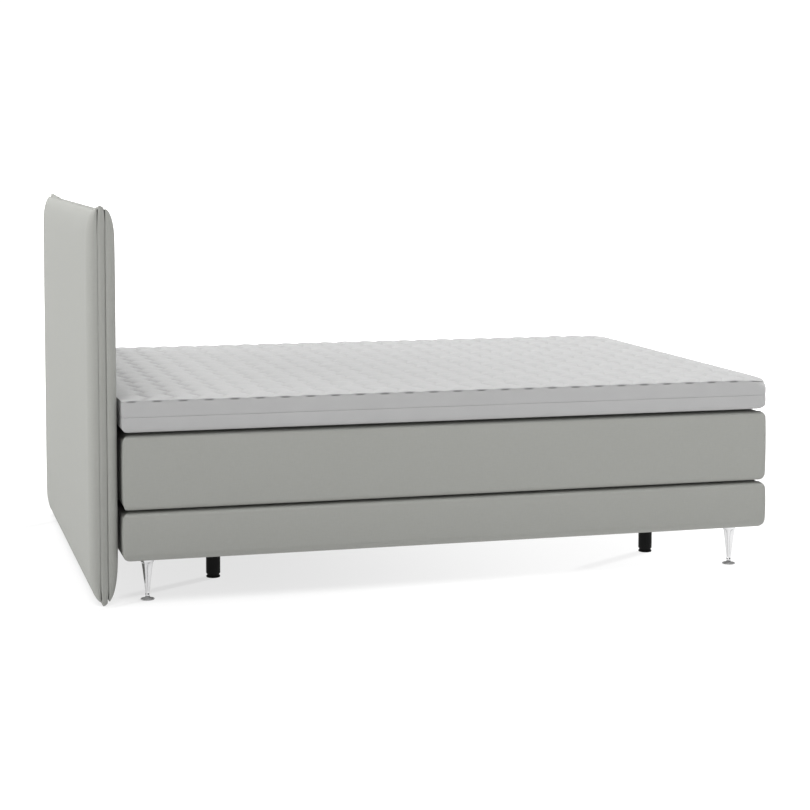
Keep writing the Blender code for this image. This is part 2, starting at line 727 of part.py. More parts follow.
def build_brackets(parts, finish, bed):
    """Two brackets, each with a screw up into the head rail and a bolt into the board."""
    pad_front = BOARD_Y - HEADBOARD_THICKNESS / 2
    corner_y = pad_front - FIT_GAP
    corner_z = BASE_BOTTOM - FIT_GAP - BRACKET_PLATE
    screw_y = corner_y - BRACKET_SCREW_INSET
    bolt_y = corner_y - BRACKET_PLATE
    bolt_z = corner_z + BRACKET_UPRIGHT - BRACKET_BOLT_DROP
    bolt_reach = BOARD_Y + BOARD_THICKNESS / 2 - BOLT_TIP_CLEARANCE - bolt_y
    screw_reach = RAIL_SCREW_LENGTH + OVERRUN
    screw = fastener_mesh("bracket_screw", RAIL_SCREW_LENGTH)
    bolt = fastener_mesh("headboard_bolt", bolt_reach)
    bolt.transform(Matrix.Rotation(-math.pi / 2, 4, "X"))
    radius = FASTENER_RADIUS + FIT_GAP
    bracket_x = HALF_WIDTH - BRACKET_SIDE_INSET
    screw_holes = []
    bolt_holes = []
    for side, x in (("left", -bracket_x), ("right", bracket_x)):
        name = f"headboard_bracket_{side}"
        mesh = bracket_mesh()
        parts[name] = place(name, mesh, finish["steel"], (x, corner_y, corner_z), bed)
        screw_start = (x, screw_y, corner_z - OVERRUN)
        screw_hole = (
            screw_start, (0.0, 0.0, screw_reach + OVERRUN), radius, SMALL_SIDES, 0.0
        )
        bolt_start = (x, bolt_y - OVERRUN, bolt_z)
        bolt_hole = (
            bolt_start, (0.0, bolt_reach + 2 * OVERRUN, 0.0), radius, SMALL_SIDES, 0.0
        )
        drill(parts[name], [screw_hole, bolt_hole])
        screw_holes.append(screw_hole)
        bolt_holes.append(bolt_hole)
        name = f"bracket_screw_{side}"
        parts[name] = place(name, screw, finish["steel"], (x, screw_y, corner_z), bed)
        name = f"headboard_bolt_{side}"
        parts[name] = place(name, bolt, finish["steel"], (x, bolt_y, bolt_z), bed)
    for name in ("base_cover", "base_head_rail"):
        drill(parts[name], screw_holes)
    for name in ("headboard_front_pad", "headboard_board"):
        drill(parts[name], bolt_holes)


def build_mattress(parts, finish, lift):
    """The pocket spring mattress, which lies loose on the base."""
    centre = (0.0, BED_Y)
    padding = MATTRESS_INSET + WALL_PADDING + FIT_GAP
    cover = upholstered_shell("mattress_cover", MATTRESS_HEIGHT, MATTRESS_INSET)
    parts["mattress_cover"] = place(
        "mattress_cover", cover, finish["grey_fabric"], (*centre, MATTRESS_BOTTOM), lift
    )
    underside = flat_slab(
        "mattress_underside", MATTRESS_INSET + HEM_WIDTH + FIT_GAP, HEM_THICKNESS
    )
    parts["mattress_underside"] = place(
        "mattress_underside", underside, finish["dust_cloth"], (*centre, MATTRESS_BOTTOM), lift
    )
    core_z = MATTRESS_BOTTOM + HEM_THICKNESS + FIT_GAP
    foam_z = MATTRESS_TOP - WALL_PADDING - FIT_GAP - COMFORT_FOAM_THICKNESS
    core_height = foam_z - FIT_GAP - core_z
    ring_inner = padding + EDGE_FOAM_WIDTH
    ring = loft(
        "mattress_edge_foam",
        [
            inset_loop(padding, 0.0),
            inset_loop(padding, core_height),
            inset_loop(ring_inner, core_height),
            inset_loop(ring_inner, 0.0),
        ],
        closed=True,
    )
    parts["mattress_edge_foam"] = place(
        "mattress_edge_foam", ring, finish["foam"], (*centre, core_z), lift
    )
    core = flat_slab("mattress_spring_core", ring_inner + FIT_GAP, core_height)
    parts["mattress_spring_core"] = place(
        "mattress_spring_core", core, finish["spring_pocket"], (*centre, core_z), lift
    )
    comfort = flat_slab("mattress_comfort_foam", padding, COMFORT_FOAM_THICKNESS)
    parts["mattress_comfort_foam"] = place(
        "mattress_comfort_foam", comfort, finish["foam"], (*centre, foam_z), lift
    )


def quilt_half_width(y):
    """Half the topper's width at a distance y from its middle, round its corners."""
    past = abs(y) - (HALF_LENGTH - PLAN_RADIUS)
    if past <= 0:
        return HALF_WIDTH
    past = min(past, PLAN_RADIUS)
    return HALF_WIDTH - PLAN_RADIUS + math.sqrt(PLAN_RADIUS ** 2 - past ** 2)


def quilt_row(y, rise, fine, swing):
    """Points across the topper on one sewn line or one crest.

    A fine row has a point at every half wave, and a coarse one at every whole
    wave. Both have an extra point near each side, where the puff meets the seam.
    """
    half = quilt_half_width(y)
    inner = half - QUILT_MARGIN
    spans = 2 * QUILT_WAVES if fine else QUILT_WAVES
    points = [(-half, y, QUILT_EDGE_RISE)]
    for k in range(spans + 1):
        x = inner * (2 * k / spans - 1)
        offset = swing * (-1) ** k if fine else 0.0
        points.append((x, y + offset, rise))
    points.append((half, y, QUILT_EDGE_RISE))
    return points


def quilt_rows():
    """All rows from the foot end to the head end, as (points, fine)."""
    pitch = BED_LENGTH / QUILT_CHANNELS
    end_y = pitch / 2 * QUILT_END_ROW_SHARE
    end_rise = QUILT_EDGE_RISE + (QUILT_CREST_RISE - QUILT_EDGE_RISE) * math.sin(
        math.pi / 2 * QUILT_END_ROW_SHARE
    )
    rows = [
        (quilt_row(-HALF_LENGTH, QUILT_EDGE_RISE, False, 0.0), False),
        (quilt_row(-HALF_LENGTH + end_y, end_rise, False, 0.0), False),
    ]
    for channel in range(QUILT_CHANNELS):
        crest_y = -HALF_LENGTH + pitch * (channel + 0.5)
        rows.append((quilt_row(crest_y, QUILT_CREST_RISE, False, 0.0), False))
        if channel < QUILT_CHANNELS - 1:
            valley_y = crest_y + pitch / 2
            row = quilt_row(valley_y, QUILT_EDGE_RISE, True, QUILT_WAVE_SWING)
            rows.append((row, True))
    rows.append((quilt_row(HALF_LENGTH - end_y, end_rise, False, 0.0), False))
    rows.append((quilt_row(HALF_LENGTH, QUILT_EDGE_RISE, False, 0.0), False))
    return rows


def strip_faces(near, near_fine, far, far_fine):
    """Triangles between two rows of point numbers, of like or unlike spacing."""
    faces = []
    if near_fine == far_fine:
        for k in range(len(near) - 1):
            faces.append((near[k], near[k + 1], far[k + 1]))
            faces.append((near[k], far[k + 1], far[k]))
        return faces
    fine, coarse = (near, far) if near_fine else (far, near)
    faces.append((fine[0], fine[1], coarse[1]))
    faces.append((fine[0], coarse[1], coarse[0]))
    for k in range(1, len(coarse) - 2):
        left = 2 * k - 1
        faces.append((fine[left], fine[left + 1], coarse[k]))
        faces.append((fine[left + 1], coarse[k + 1], coarse[k]))
        faces.append((fine[left + 1], fine[left + 2], coarse[k + 1]))
    faces.append((fine[-2], fine[-1], coarse[-1]))
    faces.append((fine[-2], coarse[-1], coarse[-2]))
    return faces


def fan_faces(edge, first, last):
    """Triangles from a straight row of points down to the two corners under its ends."""
    middle = len(edge) // 2
    faces = [(first, edge[k], edge[k + 1]) for k in range(middle)]
    faces.append((first, edge[middle], last))
    faces += [(last, edge[k], edge[k + 1]) for k in range(middle, len(edge) - 1)]
    return faces


def quilted_top_mesh():
    """The quilted panel: wavy sewn lines across it, and padding inside the border."""
    rows = quilt_rows()
    points = []
    numbers = []
    for row, _ in rows:
        numbers.append(list(range(len(points), len(points) + len(row))))
        points += row
    faces = []
    for k in range(len(rows) - 1):
        faces += strip_faces(numbers[k], rows[k][1], numbers[k + 1], rows[k + 1][1])

    corner_rows = 4
    last = len(rows) - 1
    corner_edges = (
        [numbers[k][-1] for k in range(corner_rows)],
        [numbers[last - k][-1] for k in reversed(range(corner_rows))],
        [numbers[last - k][0] for k in range(corner_rows)],
        [numbers[k][0] for k in reversed(range(corner_rows))],
    )
    rim = []
    for edge in corner_edges:
        under = []
        for number in edge:
            x, y, _ = points[number]
            under.append(len(points))
            points.append((x, y, 0.0))
        rim.append(under)
        for k in range(corner_rows - 1):
            faces.append((edge[k], edge[k + 1], under[k + 1], under[k]))
    side_edges = (
        [numbers[k][-1] for k in range(corner_rows - 1, last - corner_rows + 2)],
        list(reversed(numbers[last])),
        [numbers[k][0] for k in range(last - corner_rows + 1, corner_rows - 2, -1)],
        numbers[0],
    )
    for index, edge in enumerate(side_edges):
        faces += fan_faces(edge, rim[index][-1], rim[(index + 1) % len(rim)][0])

    rim_loop = [number for under in rim for number in under]
    step_in = TOPPER_FABRIC + FIT_GAP
    loops = []
    for z in (0.0, -QUILT_PADDING):
        loop = []
        for number in rim_loop:
            x, y, _ = points[number]
            loop.append(len(points))
            points.append(
                (
                    x * (HALF_WIDTH - step_in) / HALF_WIDTH,
                    y * (HALF_LENGTH - step_in) / HALF_LENGTH,
                    z,
                )
            )
        loops.append(loop)
    count = len(rim_loop)
    for outer, inner in ((rim_loop, loops[0]), (loops[0], loops[1])):
        for k in range(count):
            n = (k + 1) % count
            faces.append((outer[k], outer[n], inner[n], inner[k]))
    faces.append(tuple(loops[1]))
    return soften(make_mesh("topper_quilted_top", points, faces), math.radians(50))


def build_topper(parts, finish, lift):
    """The topper: quilted top, border in two halves with a zip, and a foam core."""
    centre = (0.0, BED_Y)
    inner = TOPPER_FABRIC
    tray_loops = []
    for step in range(EDGE_ARC_STEPS + 1):
        angle = math.pi / 2 * step / EDGE_ARC_STEPS
        drawn_in = TOPPER_BOTTOM_RADIUS * (1 - math.sin(angle))
        rise = TOPPER_BOTTOM_RADIUS * (1 - math.cos(angle))
        tray_loops.append(inset_loop(drawn_in, rise))
    tray_loops += [
        inset_loop(0.0, ZIP_LEVEL),
        inset_loop(inner, ZIP_LEVEL),
        inset_loop(inner, TOPPER_BOTTOM_RADIUS),
        inset_loop(TOPPER_BOTTOM_RADIUS, TOPPER_FABRIC),
    ]
    tray = soften(loft("topper_lower_cover", tray_loops))
    parts["topper_lower_cover"] = place(
        "topper_lower_cover", tray, finish["border_fabric"], (*centre, TOPPER_BOTTOM), lift
    )

    zip_z = TOPPER_BOTTOM + ZIP_LEVEL + FIT_GAP
    tape = fabric_ring("topper_zip", ZIP_RECESS, ZIP_HEIGHT)
    parts["topper_zip"] = place("topper_zip", tape, finish["zip_tape"], (*centre, zip_z), lift)

    border_z = zip_z + ZIP_HEIGHT + FIT_GAP
    border = fabric_ring("topper_upper_border", 0.0, TOPPER_SEAM - FIT_GAP - border_z)
    parts["topper_upper_border"] = place(
        "topper_upper_border", border, finish["border_fabric"], (*centre, border_z), lift
    )

    top = quilted_top_mesh()
    parts["topper_quilted_top"] = place(
        "topper_quilted_top", top, finish["topper_knit"], (*centre, TOPPER_SEAM), lift
    )

    core_z = TOPPER_BOTTOM + TOPPER_FABRIC + FIT_GAP
    core_height = TOPPER_SEAM - QUILT_PADDING - FIT_GAP - core_z
    rise = TOPPER_BOTTOM_RADIUS - TOPPER_FABRIC
    side = inner + FIT_GAP
    core = loft(
        "topper_foam_core",
        [
            inset_loop(TOPPER_BOTTOM_RADIUS + FIT_GAP, 0.0),
            inset_loop(side, rise),
            inset_loop(side, core_height),
        ],
    )
    parts["topper_foam_core"] = place(
        "topper_foam_core", core, finish["foam"], (*centre, core_z), lift
    )


def fabric_ring(name, inset, height):
    """An upright band of border fabric round the topper."""
    inner = TOPPER_FABRIC
    loops = [
        inset_loop(inset, 0.0),
        inset_loop(inset, height),
        inset_loop(inner, height),
        inset_loop(inner, 0.0),
    ]
    return soften(loft(name, loops, closed=True))


def make_finishes():
    return {
        "grey_fabric": make_material("grey_fabric", (0.34, 0.345, 0.315), 0.9),
        "topper_knit": make_material("topper_knit", (0.68, 0.68, 0.68), 0.85),
        "border_fabric": make_material("border_fabric", (0.44, 0.44, 0.44), 0.85),
        "zip_tape": make_material("zip_tape", (0.30, 0.30, 0.30), 0.7),
        "foam": make_material("foam", (0.80, 0.76, 0.62), 0.9),
        "spring_pocket": make_material("spring_pocket", (0.75, 0.76, 0.78), 0.8),
        "dust_cloth": make_material("dust_cloth", (0.05, 0.05, 0.05), 0.9),
        "pine": make_material("pine", (0.62, 0.43, 0.24), 0.6),
        "plywood": make_material("plywood", (0.55, 0.38, 0.22), 0.6),
        "chrome": make_material("chrome", (0.80, 0.80, 0.80), 0.1, 1.0),
        "steel": make_material("steel", (0.45, 0.45, 0.46), 0.35, 1.0),
        "black_plastic": make_material("black_plastic", (0.012, 0.012, 0.012), 0.45),
        "grey_plastic": make_material("grey_plastic", (0.20, 0.20, 0.20), 0.4),
    }


def main():
    clear_scene()
    finish = make_finishes()
    parts = {}
    bed = make_empty("bed", (0.0, 0.0, 0.0))
    mattress_lift = make_empty("mattress_lift", (0.0, BED_Y, MATTRESS_BOTTOM), bed)
    topper_lift = make_empty("topper_lift", (0.0, BED_Y, TOPPER_BOTTOM), mattress_lift)
    build_base(parts, finish, bed)
    build_leg_blocks(parts, finish, bed)
    build_corner_legs(parts, finish, bed)
    build_support_legs(parts, finish, bed)
    drill_dust_cloth(parts)
    build_headboard(parts, finish, bed)
    build_brackets(parts, finish, bed)
    build_mattress(parts, finish, mattress_lift)
    build_topper(parts, finish, topper_lift)


main()
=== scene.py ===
"""Looks of a box spring bed: grey woven upholstery, a quilted knit topper and chrome legs."""

import json
import math

import bmesh
import bpy
import numpy as np
from mathutils import Euler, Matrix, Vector

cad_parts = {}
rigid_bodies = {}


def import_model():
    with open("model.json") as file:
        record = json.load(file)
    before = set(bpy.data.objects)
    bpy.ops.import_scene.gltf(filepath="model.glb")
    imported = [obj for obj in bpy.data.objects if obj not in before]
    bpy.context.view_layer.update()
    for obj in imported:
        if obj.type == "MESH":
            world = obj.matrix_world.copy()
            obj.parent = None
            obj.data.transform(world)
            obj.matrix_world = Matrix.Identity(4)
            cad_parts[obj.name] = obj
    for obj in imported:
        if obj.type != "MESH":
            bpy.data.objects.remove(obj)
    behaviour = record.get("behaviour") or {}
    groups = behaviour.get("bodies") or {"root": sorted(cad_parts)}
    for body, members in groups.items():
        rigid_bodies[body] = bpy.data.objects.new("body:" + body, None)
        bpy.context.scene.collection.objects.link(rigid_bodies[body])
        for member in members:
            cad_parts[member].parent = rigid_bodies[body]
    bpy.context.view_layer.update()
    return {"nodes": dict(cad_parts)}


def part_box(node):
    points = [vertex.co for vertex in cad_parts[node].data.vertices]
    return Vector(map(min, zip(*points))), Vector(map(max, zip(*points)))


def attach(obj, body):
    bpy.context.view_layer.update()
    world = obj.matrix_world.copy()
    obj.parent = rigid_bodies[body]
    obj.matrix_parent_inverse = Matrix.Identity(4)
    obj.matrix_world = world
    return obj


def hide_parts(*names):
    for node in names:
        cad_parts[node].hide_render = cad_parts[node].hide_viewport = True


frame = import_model()

# Sizes of the bed in metres, as the solids have them. Radii are those of the corners in
# plan, at the head end and at the foot end; the topper's grow towards its top seam.
BASE_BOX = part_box("base_cover")
HALF_WIDTH = BASE_BOX[1].x
HALF_LENGTH = (BASE_BOX[1].y - BASE_BOX[0].y) / 2
BED_Y = (BASE_BOX[1].y + BASE_BOX[0].y) / 2
HEAD_RADIUS = 0.009
FOOT_RADIUS = 0.022
TOPPER_FOOT_RADIUS = 0.034
SEAM_FOOT_RADIUS = 0.058
MATTRESS_INSET = 0.0015

# The covers' rounded edges, top and low, each as its level and its upright radius
END_EDGES = ((0.035, 0.024), (0.029, 0.025))
BASE_SIDE_EDGES = ((0.024, 0.0135), (0.029, 0.025))
MATTRESS_SIDE_EDGES = ((0.024, 0.010), (0.021, 0.013))
SIDE_SWELL = 0.0014
BASE_SAG = 0.0076
MATTRESS_SAG = 0.0068
MATTRESS_DROOP = 0.0032

# Cloth and padding; the ripples are slow unevenness
WALL_PADDING = 0.014
HEM_THICKNESS = 0.006
HEM_WIDTH = 0.030
TOPPER_FABRIC = 0.004
CLOTH_THICKNESS = 0.0010
CLOTH_FALL = 0.0030
CLOTH_RIPPLE = 0.0005
COVER_RIPPLE = 0.0005
PAD_RIPPLE = 0.0006
GAP = 0.0003

BASE_LOW, BASE_HIGH = (corner.z for corner in BASE_BOX)
MATTRESS_LOW, MATTRESS_HIGH = (corner.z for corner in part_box("mattress_cover"))
ZIP_LOW, ZIP_HIGH = (corner.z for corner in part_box("topper_zip"))
TRAY_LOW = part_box("topper_lower_cover")[0].z
BORDER_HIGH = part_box("topper_upper_border")[1].z
QUILT_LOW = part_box("topper_quilted_top")[0].z
SEAM = BORDER_HIGH + GAP

# Quilting: the channels and their sewn wave, the crests and how they vary, the roll at
# the border, the lip and the tuck above the seam, the puckers, and the foot corners
CHANNELS = 27
PITCH = 2 * HALF_LENGTH / CHANNELS
WAVE_LENGTH = 0.1167
WAVE_SWING = 0.010
CREST_RISE = 0.0062
CREST_DIP = 0.16
CREST_UNEVEN = 0.10
SEAM_RISE = 0.0014
EDGE_ROLL = 0.024
SLOW_ROLL = 0.040
SLOW_SHARE = 0.65
LIP_BULGE, LIP_INSET, LIP_WIDTH = 0.0026, 0.0032, 0.0024
SEAM_TUCK, TUCK_FALL, TUCK_WIDTH = 0.0036, 0.0004, 0.0013
PUCKER_RISE = 0.00045
PUCKER_REACH = 0.006
CORNER_DROP = 0.0085
CORNER_DROP_AREA = 0.0024
STITCH = 0.0045

# The topper's border, with the rounded edges under it as level and upright radius
TRAY_SIDE_EDGE = (0.028, 0.012)
TRAY_END_EDGE = (0.040, 0.016)
ZIP_OVERLAP = 0.0012
BORDER_FLARE = 0.032
BORDER_SWELL = 0.0006

# Headboard: a pad's edge and crown, the ears at its corners, and the band between the pads
BAND_LOW, BAND_HIGH = (np.array(corner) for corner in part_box("headboard_edge_band"))
HEADBOARD_CENTRE = (BAND_LOW + BAND_HIGH) / 2
BAND_HALF_X, BAND_HALF_Y, BAND_HALF_Z = (BAND_HIGH - BAND_LOW) / 2
PAD_INNER, PAD_OUTER = (corner.y - HEADBOARD_CENTRE[1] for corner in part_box("headboard_back_pad"))
PAD_RIM = 0.0030
PAD_EDGE_STEPS = (0, 0.0012, 0.003, 0.0055, 0.009, 0.0135, 0.019, 0.0255, 0.033, 0.042,
                  0.052, 0.063, 0.076, 0.092, 0.112, 0.137, 0.167, 0.2)
CROWN_RUN = 0.22
CROWN_SHARE = 0.05
TOP_RUN = 0.082
LOW_RUN = 0.105
EAR = 0.012
EAR_LENGTH = 0.085
EAR_REACH = 0.10
# How the two pads differ: the groove beside the band, the ear, the run and the power of
# the side edge's curve, the run of the low edge, the thickness beyond the solid's, and
# the tuck of the rim under the pad
PAD_SHAPES = {
    "back": (0.0016, 0.0028, 0.042, 2.0, 0.82 * LOW_RUN, 0.0, 0.0006),
    "front": (0.0036, 0.0046, 0.032, 2.4, LOW_RUN, 0.0020, 0.0036),
}
BAND_FRONT_INSET = 0.0070
BAND_BACK_INSET = 0.0018
BAND_TIP_TAPER = 0.32

# Legs
LEG_TURN = math.radians(57)
LEG_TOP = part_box("base_dust_cloth")[0].z - GAP
LEG_STUD = [(0.005, LEG_TOP), (0.005, LEG_TOP + 0.025)]


# Meshes

CORNERS = np.array([[1, -1], [1, 1], [-1, 1], [-1, -1]], float)


def make_piece(name, points, faces, uvs, material, sharp_degrees=None, closed=True):
    """A mesh object at the origin from points, faces and UVs given corner by corner. The
    faces of a closed one are turned outwards."""
    mesh = bpy.data.meshes.new(name)
    mesh.from_pydata(np.asarray(points).tolist(), [], faces)
    if uvs is not None:
        layer = mesh.uv_layers.new(name="cloth")
        layer.data.foreach_set("uv", np.asarray(uvs, np.float32).ravel())
    mesh.shade_smooth()
    if sharp_degrees:
        mesh.set_sharp_from_angle(angle=math.radians(sharp_degrees))
    piece = bpy.data.objects.new(name, mesh)
    bpy.context.scene.collection.objects.link(piece)
    mesh.materials.append(material)
    if closed:
        shape = bmesh.new()
        shape.from_mesh(mesh)
        bmesh.ops.recalc_face_normals(shape, faces=shape.faces)
        shape.to_mesh(mesh)
        shape.free()
    return piece


def ring_piece(name, rings, material, closed=False, sharp_degrees=None):
    """A surface of stacked rings: ring i and i + 1 are joined by quads, and the first
    and last are capped, or joined to each other where the stack is closed.

    UVs are in metres: the length along a ring and the length across the rings.
    """
    rings = np.asarray(rings, float)
    rows, count = rings.shape[:2]
    points = rings.reshape(-1, 3)
    spans = rows if closed else rows - 1
    row = np.arange(spans)[:, None]
    col = np.arange(count)[None, :]
    low = row * count
    high = (row + 1) % rows * count
    right = (col + 1) % count
    quads = np.stack([low + col, low + right, high + right, high + col], -1).reshape(-1, 4)
    longest = rings[np.argmax(np.ptp(rings[..., 0], axis=1) + np.ptp(rings[..., 1], axis=1))]
    step = np.linalg.norm(np.roll(longest, -1, 0) - longest, axis=1)
    along = np.concatenate([[0.0], np.cumsum(step)])
    step = np.linalg.norm(np.roll(rings, -1, 0) - rings, axis=2).max(1)
    across = np.concatenate([[0.0], np.cumsum(step)])
    u = np.stack([along[col], along[col + 1], along[col + 1], along[col]], -1)
    v = np.stack([across[row], across[row], across[row + 1], across[row + 1]], -1)
    shape = (spans, count, 4)
    uvs = np.stack([np.broadcast_to(u, shape), np.broadcast_to(v, shape)], -1).reshape(-1, 2)
    faces = quads.tolist()
    if not closed:
        caps = [np.arange(count)[::-1], np.arange(count) + (rows - 1) * count]
        faces += [cap.tolist() for cap in caps]
        flat = [points[cap][:, :2] for cap in caps]
        uvs = np.concatenate([uvs, *flat])
    return make_piece(name, points, faces, uvs, material, sharp_degrees)


def dress(piece, body, node):
    """Tie a piece to its body and to the solid that it stands for."""
    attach(piece, body)
    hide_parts(node)


def plan_samples(arc_steps, side_steps):
    """Samples round a rounded rectangle: the share of each corner and the direction of
    the outline's normal there. A side runs from one corner's arc to the next one's."""
    corner, angle = [], []
    for k in range(4):
        start = math.radians(90 * k - 90)
        turn = np.linspace(0, math.pi / 2, arc_steps + 1)
        corner.append(np.repeat(CORNERS[k][None], arc_steps + 1, 0))
        angle.append(start + turn)
        share = np.linspace(0, 1, side_steps[k % 2] + 1)[1:-1, None]
        corner.append(CORNERS[k] * (1 - share) + CORNERS[(k + 1) % 4] * share)
        angle.append(np.full(side_steps[k % 2] - 1, start + math.pi / 2))
    angle = np.concatenate(angle)
    return np.concatenate(corner), np.stack([np.cos(angle), np.sin(angle)], -1)


def plan_rings(profile, samples, inset=0.0, foot_radius=FOOT_RADIUS):
    """Rings of the bed's outline for each (inset, height) of a profile. The corners at
    the foot end have their own radius, which may differ from ring to ring."""
    corner, normal = samples
    profile = np.asarray(profile, float)
    drawn_in = profile[:, 0] + inset
    share = (1 - corner[:, 1:]) / 2
    foot = np.broadcast_to(foot_radius, len(profile))[:, None, None]
    radius = HEAD_RADIUS * (1 - share) + foot * share
    radius = np.maximum(radius - drawn_in[:, None, None], 0.002)
    half = np.stack([HALF_WIDTH - drawn_in, HALF_LENGTH - drawn_in], -1)[:, None, :]
    plan = corner * (half - radius) + normal * radius
    plan[..., 1] += BED_Y
    height = np.broadcast_to(profile[:, 1][:, None, None], (*plan.shape[:2], 1))
    return np.concatenate([plan, height], -1)


def arc(centre, radii, start, end, steps):
    """Points (inset, height) on an elliptical arc; the angle runs from the outward
    direction up. The radii are the level one and the upright one."""
    angle = np.radians(np.linspace(start, end, steps + 1))
    return np.stack([
        centre[0] - radii[0] * np.cos(angle), centre[1] + radii[1] * np.sin(angle)
    ], -1)


def line(start, end, steps):
    """Points from start to end, without the start."""
    share = np.linspace(0, 1, steps + 1)[1:, None]
    return np.asarray(start) * (1 - share) + np.asarray(end) * share


def spaced(half, near, spacing):
    """Places from -half to half: at both ends as near gives them, evenly spaced beyond."""
    near = np.asarray(near)
    inner = half - near[-1]
    middle = np.linspace(-inner, inner, int(round(2 * inner / spacing)) + 1)
    return np.concatenate([-half + near[:-1], middle, (half - near[:-1])[::-1]])


def fade(distance, length):
    """1 at no distance, falling to 0 by half a cosine over the length."""
    return (1 + np.cos(np.pi * np.clip(distance / length, 0, 1))) / 2


def grid_faces(rows, cols):
    """The quads of a grid of points, and its rim as a loop of points."""
    index = np.arange(rows * cols).reshape(rows, cols)
    quads = np.stack([index[:-1, :-1], index[:-1, 1:], index[1:, 1:], index[1:, :-1]], -1)
    rim = np.concatenate([index[0, :], index[1:, -1], index[-1, -2::-1], index[-2:0:-1, 0]])
    return quads.reshape(-1, 4), rim


def lengths(places, axis):
    """Lengths over a grid of places along one of its axes, from its middle."""
    step = np.linalg.norm(np.diff(places, axis=axis, prepend=places.take([0], axis)), axis=-1)
    along = np.cumsum(step, axis)
    return along - along.take([places.shape[axis] // 2], axis)


def close_below(points, quads, cloth, loops, plane):
    """Faces and UVs of a grid that loops of points close: each loop is joined to the next
    by quads, and the last is filled. UVs there are the two coordinates of the plane."""
    faces, uvs = quads.tolist(), [cloth[quads.reshape(-1)]]
    for outer, deeper in zip(loops, loops[1:]):
        ring = np.stack([outer, np.roll(outer, -1), np.roll(deeper, -1), deeper], -1)
        faces += ring.tolist()
        uvs.append(points[ring.reshape(-1)][:, plane])
    faces.append(loops[-1].tolist())
    uvs.append(points[loops[-1]][:, plane])
    return faces, np.concatenate(uvs)


def ripple(points, size):
    """A slow unevenness in metres: a sum of sine waves of 17 to 53 cm along each axis."""
    x, y, z = (points[..., k] for k in range(3))
    waves = np.sin(x * 13.1 + 1.3) * np.sin(y * 11.7 + 0.4) + np.sin(y * 23.3 + z * 31.0 + 2.1)
    waves = waves + np.sin(x * 29.0 - z * 19.0 + 0.7) + np.sin(y * 36.1 - x * 7.0) * 0.5
    return size * waves / 3.5


# Shader expressions

def operator(operation):
    """A method that adds a Math node for a value, alone or with another term."""
    def method(self, *others):
        return self.nodes.math(operation, self, *others)
    return method


class Value:
    """A number that varies over a surface. Arithmetic on it adds Math nodes."""

    def __init__(self, nodes, socket):
        self.nodes = nodes
        self.socket = socket

    __add__ = operator("ADD")
    __sub__ = operator("SUBTRACT")
    __mul__ = operator("MULTIPLY")
    __truediv__ = operator("DIVIDE")
    __abs__ = operator("ABSOLUTE")
    sin = operator("SINE")

    def __rsub__(self, other):
        return self.nodes.math("SUBTRACT", other, self)

    def aside(self):
        """The distance to the nearest whole number."""
        return abs(self - self.nodes.math("ROUND", self))

    def step(self, low, high):
        """0 below low, 1 above high and a smooth rise between them."""
        return self.nodes.add(
            "MapRange", {"interpolation_type": "SMOOTHSTEP"},
            {"Value": self, "From Min": low, "From Max": high},
        )


class Nodes:
    """A node tree and the expressions that are built in it."""

    def __init__(self, tree):
        self.tree = tree

    def fill(self, socket, value):
        if isinstance(value, Value):
            self.tree.links.new(value.socket, socket)
        else:
            socket.default_value = value

    def add(self, kind, settings=None, inputs=None, output=0):
        """Any node: its settings first, then the values or links of its sockets."""
        node = self.tree.nodes.new("ShaderNode" + kind)
        for key, value in (settings or {}).items():
            setattr(node, key, value)
        for key, value in (inputs or {}).items():
            self.fill(node.inputs[key], value)
        return Value(self, node.outputs[output])

    def math(self, operation, *terms):
        return self.add("Math", {"operation": operation}, dict(enumerate(terms)))

    def place(self, output="Object"):
        """Object coordinates or the piece's own UV map, in metres."""
        return self.add("TexCoord", output=output)

    def parts(self, vector):
        """The three components of a vector."""
        node = self.add("SeparateXYZ", inputs={0: vector}).socket.node
        return [Value(self, socket) for socket in node.outputs]

    def scaled(self, vector, scale):
        return self.add("Mapping", None, {"Vector": vector, "Scale": scale})

    def noise(self, vector, scale, detail):
        return self.add("TexNoise", None, {"Vector": vector, "Scale": scale, "Detail": detail})

    def mix(self, factor, first, second):
        """A colour between two, by a factor."""
        node = self.tree.nodes.new("ShaderNodeMix")
        node.data_type = "RGBA"
        self.fill(node.inputs[0], factor)
        for socket, colour in ((node.inputs[6], first), (node.inputs[7], second)):
            self.fill(socket, colour if isinstance(colour, Value) else (*colour, 1.0))
        return Value(self, node.outputs[2])


class Finish(Nodes):
    """A material and its shader."""

    def __init__(self, name, colour, roughness, metallic=0.0, sheen=0.0):
        self.material = bpy.data.materials.new(name)
        self.material.use_nodes = True
        super().__init__(self.material.node_tree)
        self.shader = self.tree.nodes["Principled BSDF"]
        self.set(Base_Color=(*colour, 1.0), Roughness=roughness, Metallic=metallic)
        if sheen:
            self.set(Sheen_Weight=sheen, Sheen_Roughness=0.6)

    def set(self, **values):
        for key, value in values.items():
            self.fill(self.shader.inputs[key.replace("_", " ")], value)

    def tint(self, tone, colour, dark, light):
        """The colour between a darker and a lighter shade of it, by a tone."""
        self.set(Base_Color=self.mix(tone, shade(colour, dark), shade(colour, light)))

    def cover(self, factor, colour):
        """Another colour over the one that is set, by a factor."""
        under = self.shader.inputs["Base Color"].links[0].from_socket
        self.set(Base_Color=self.mix(factor, Value(self, under), colour))

    def bump(self, height, distance, strength):
        self.set(Normal=self.add(
            "Bump", None, {"Height": height, "Distance": distance, "Strength": strength}
        ))


def shade(colour, factor):
    """A colour made lighter or darker by a factor."""
    return tuple(channel * factor for channel in colour)


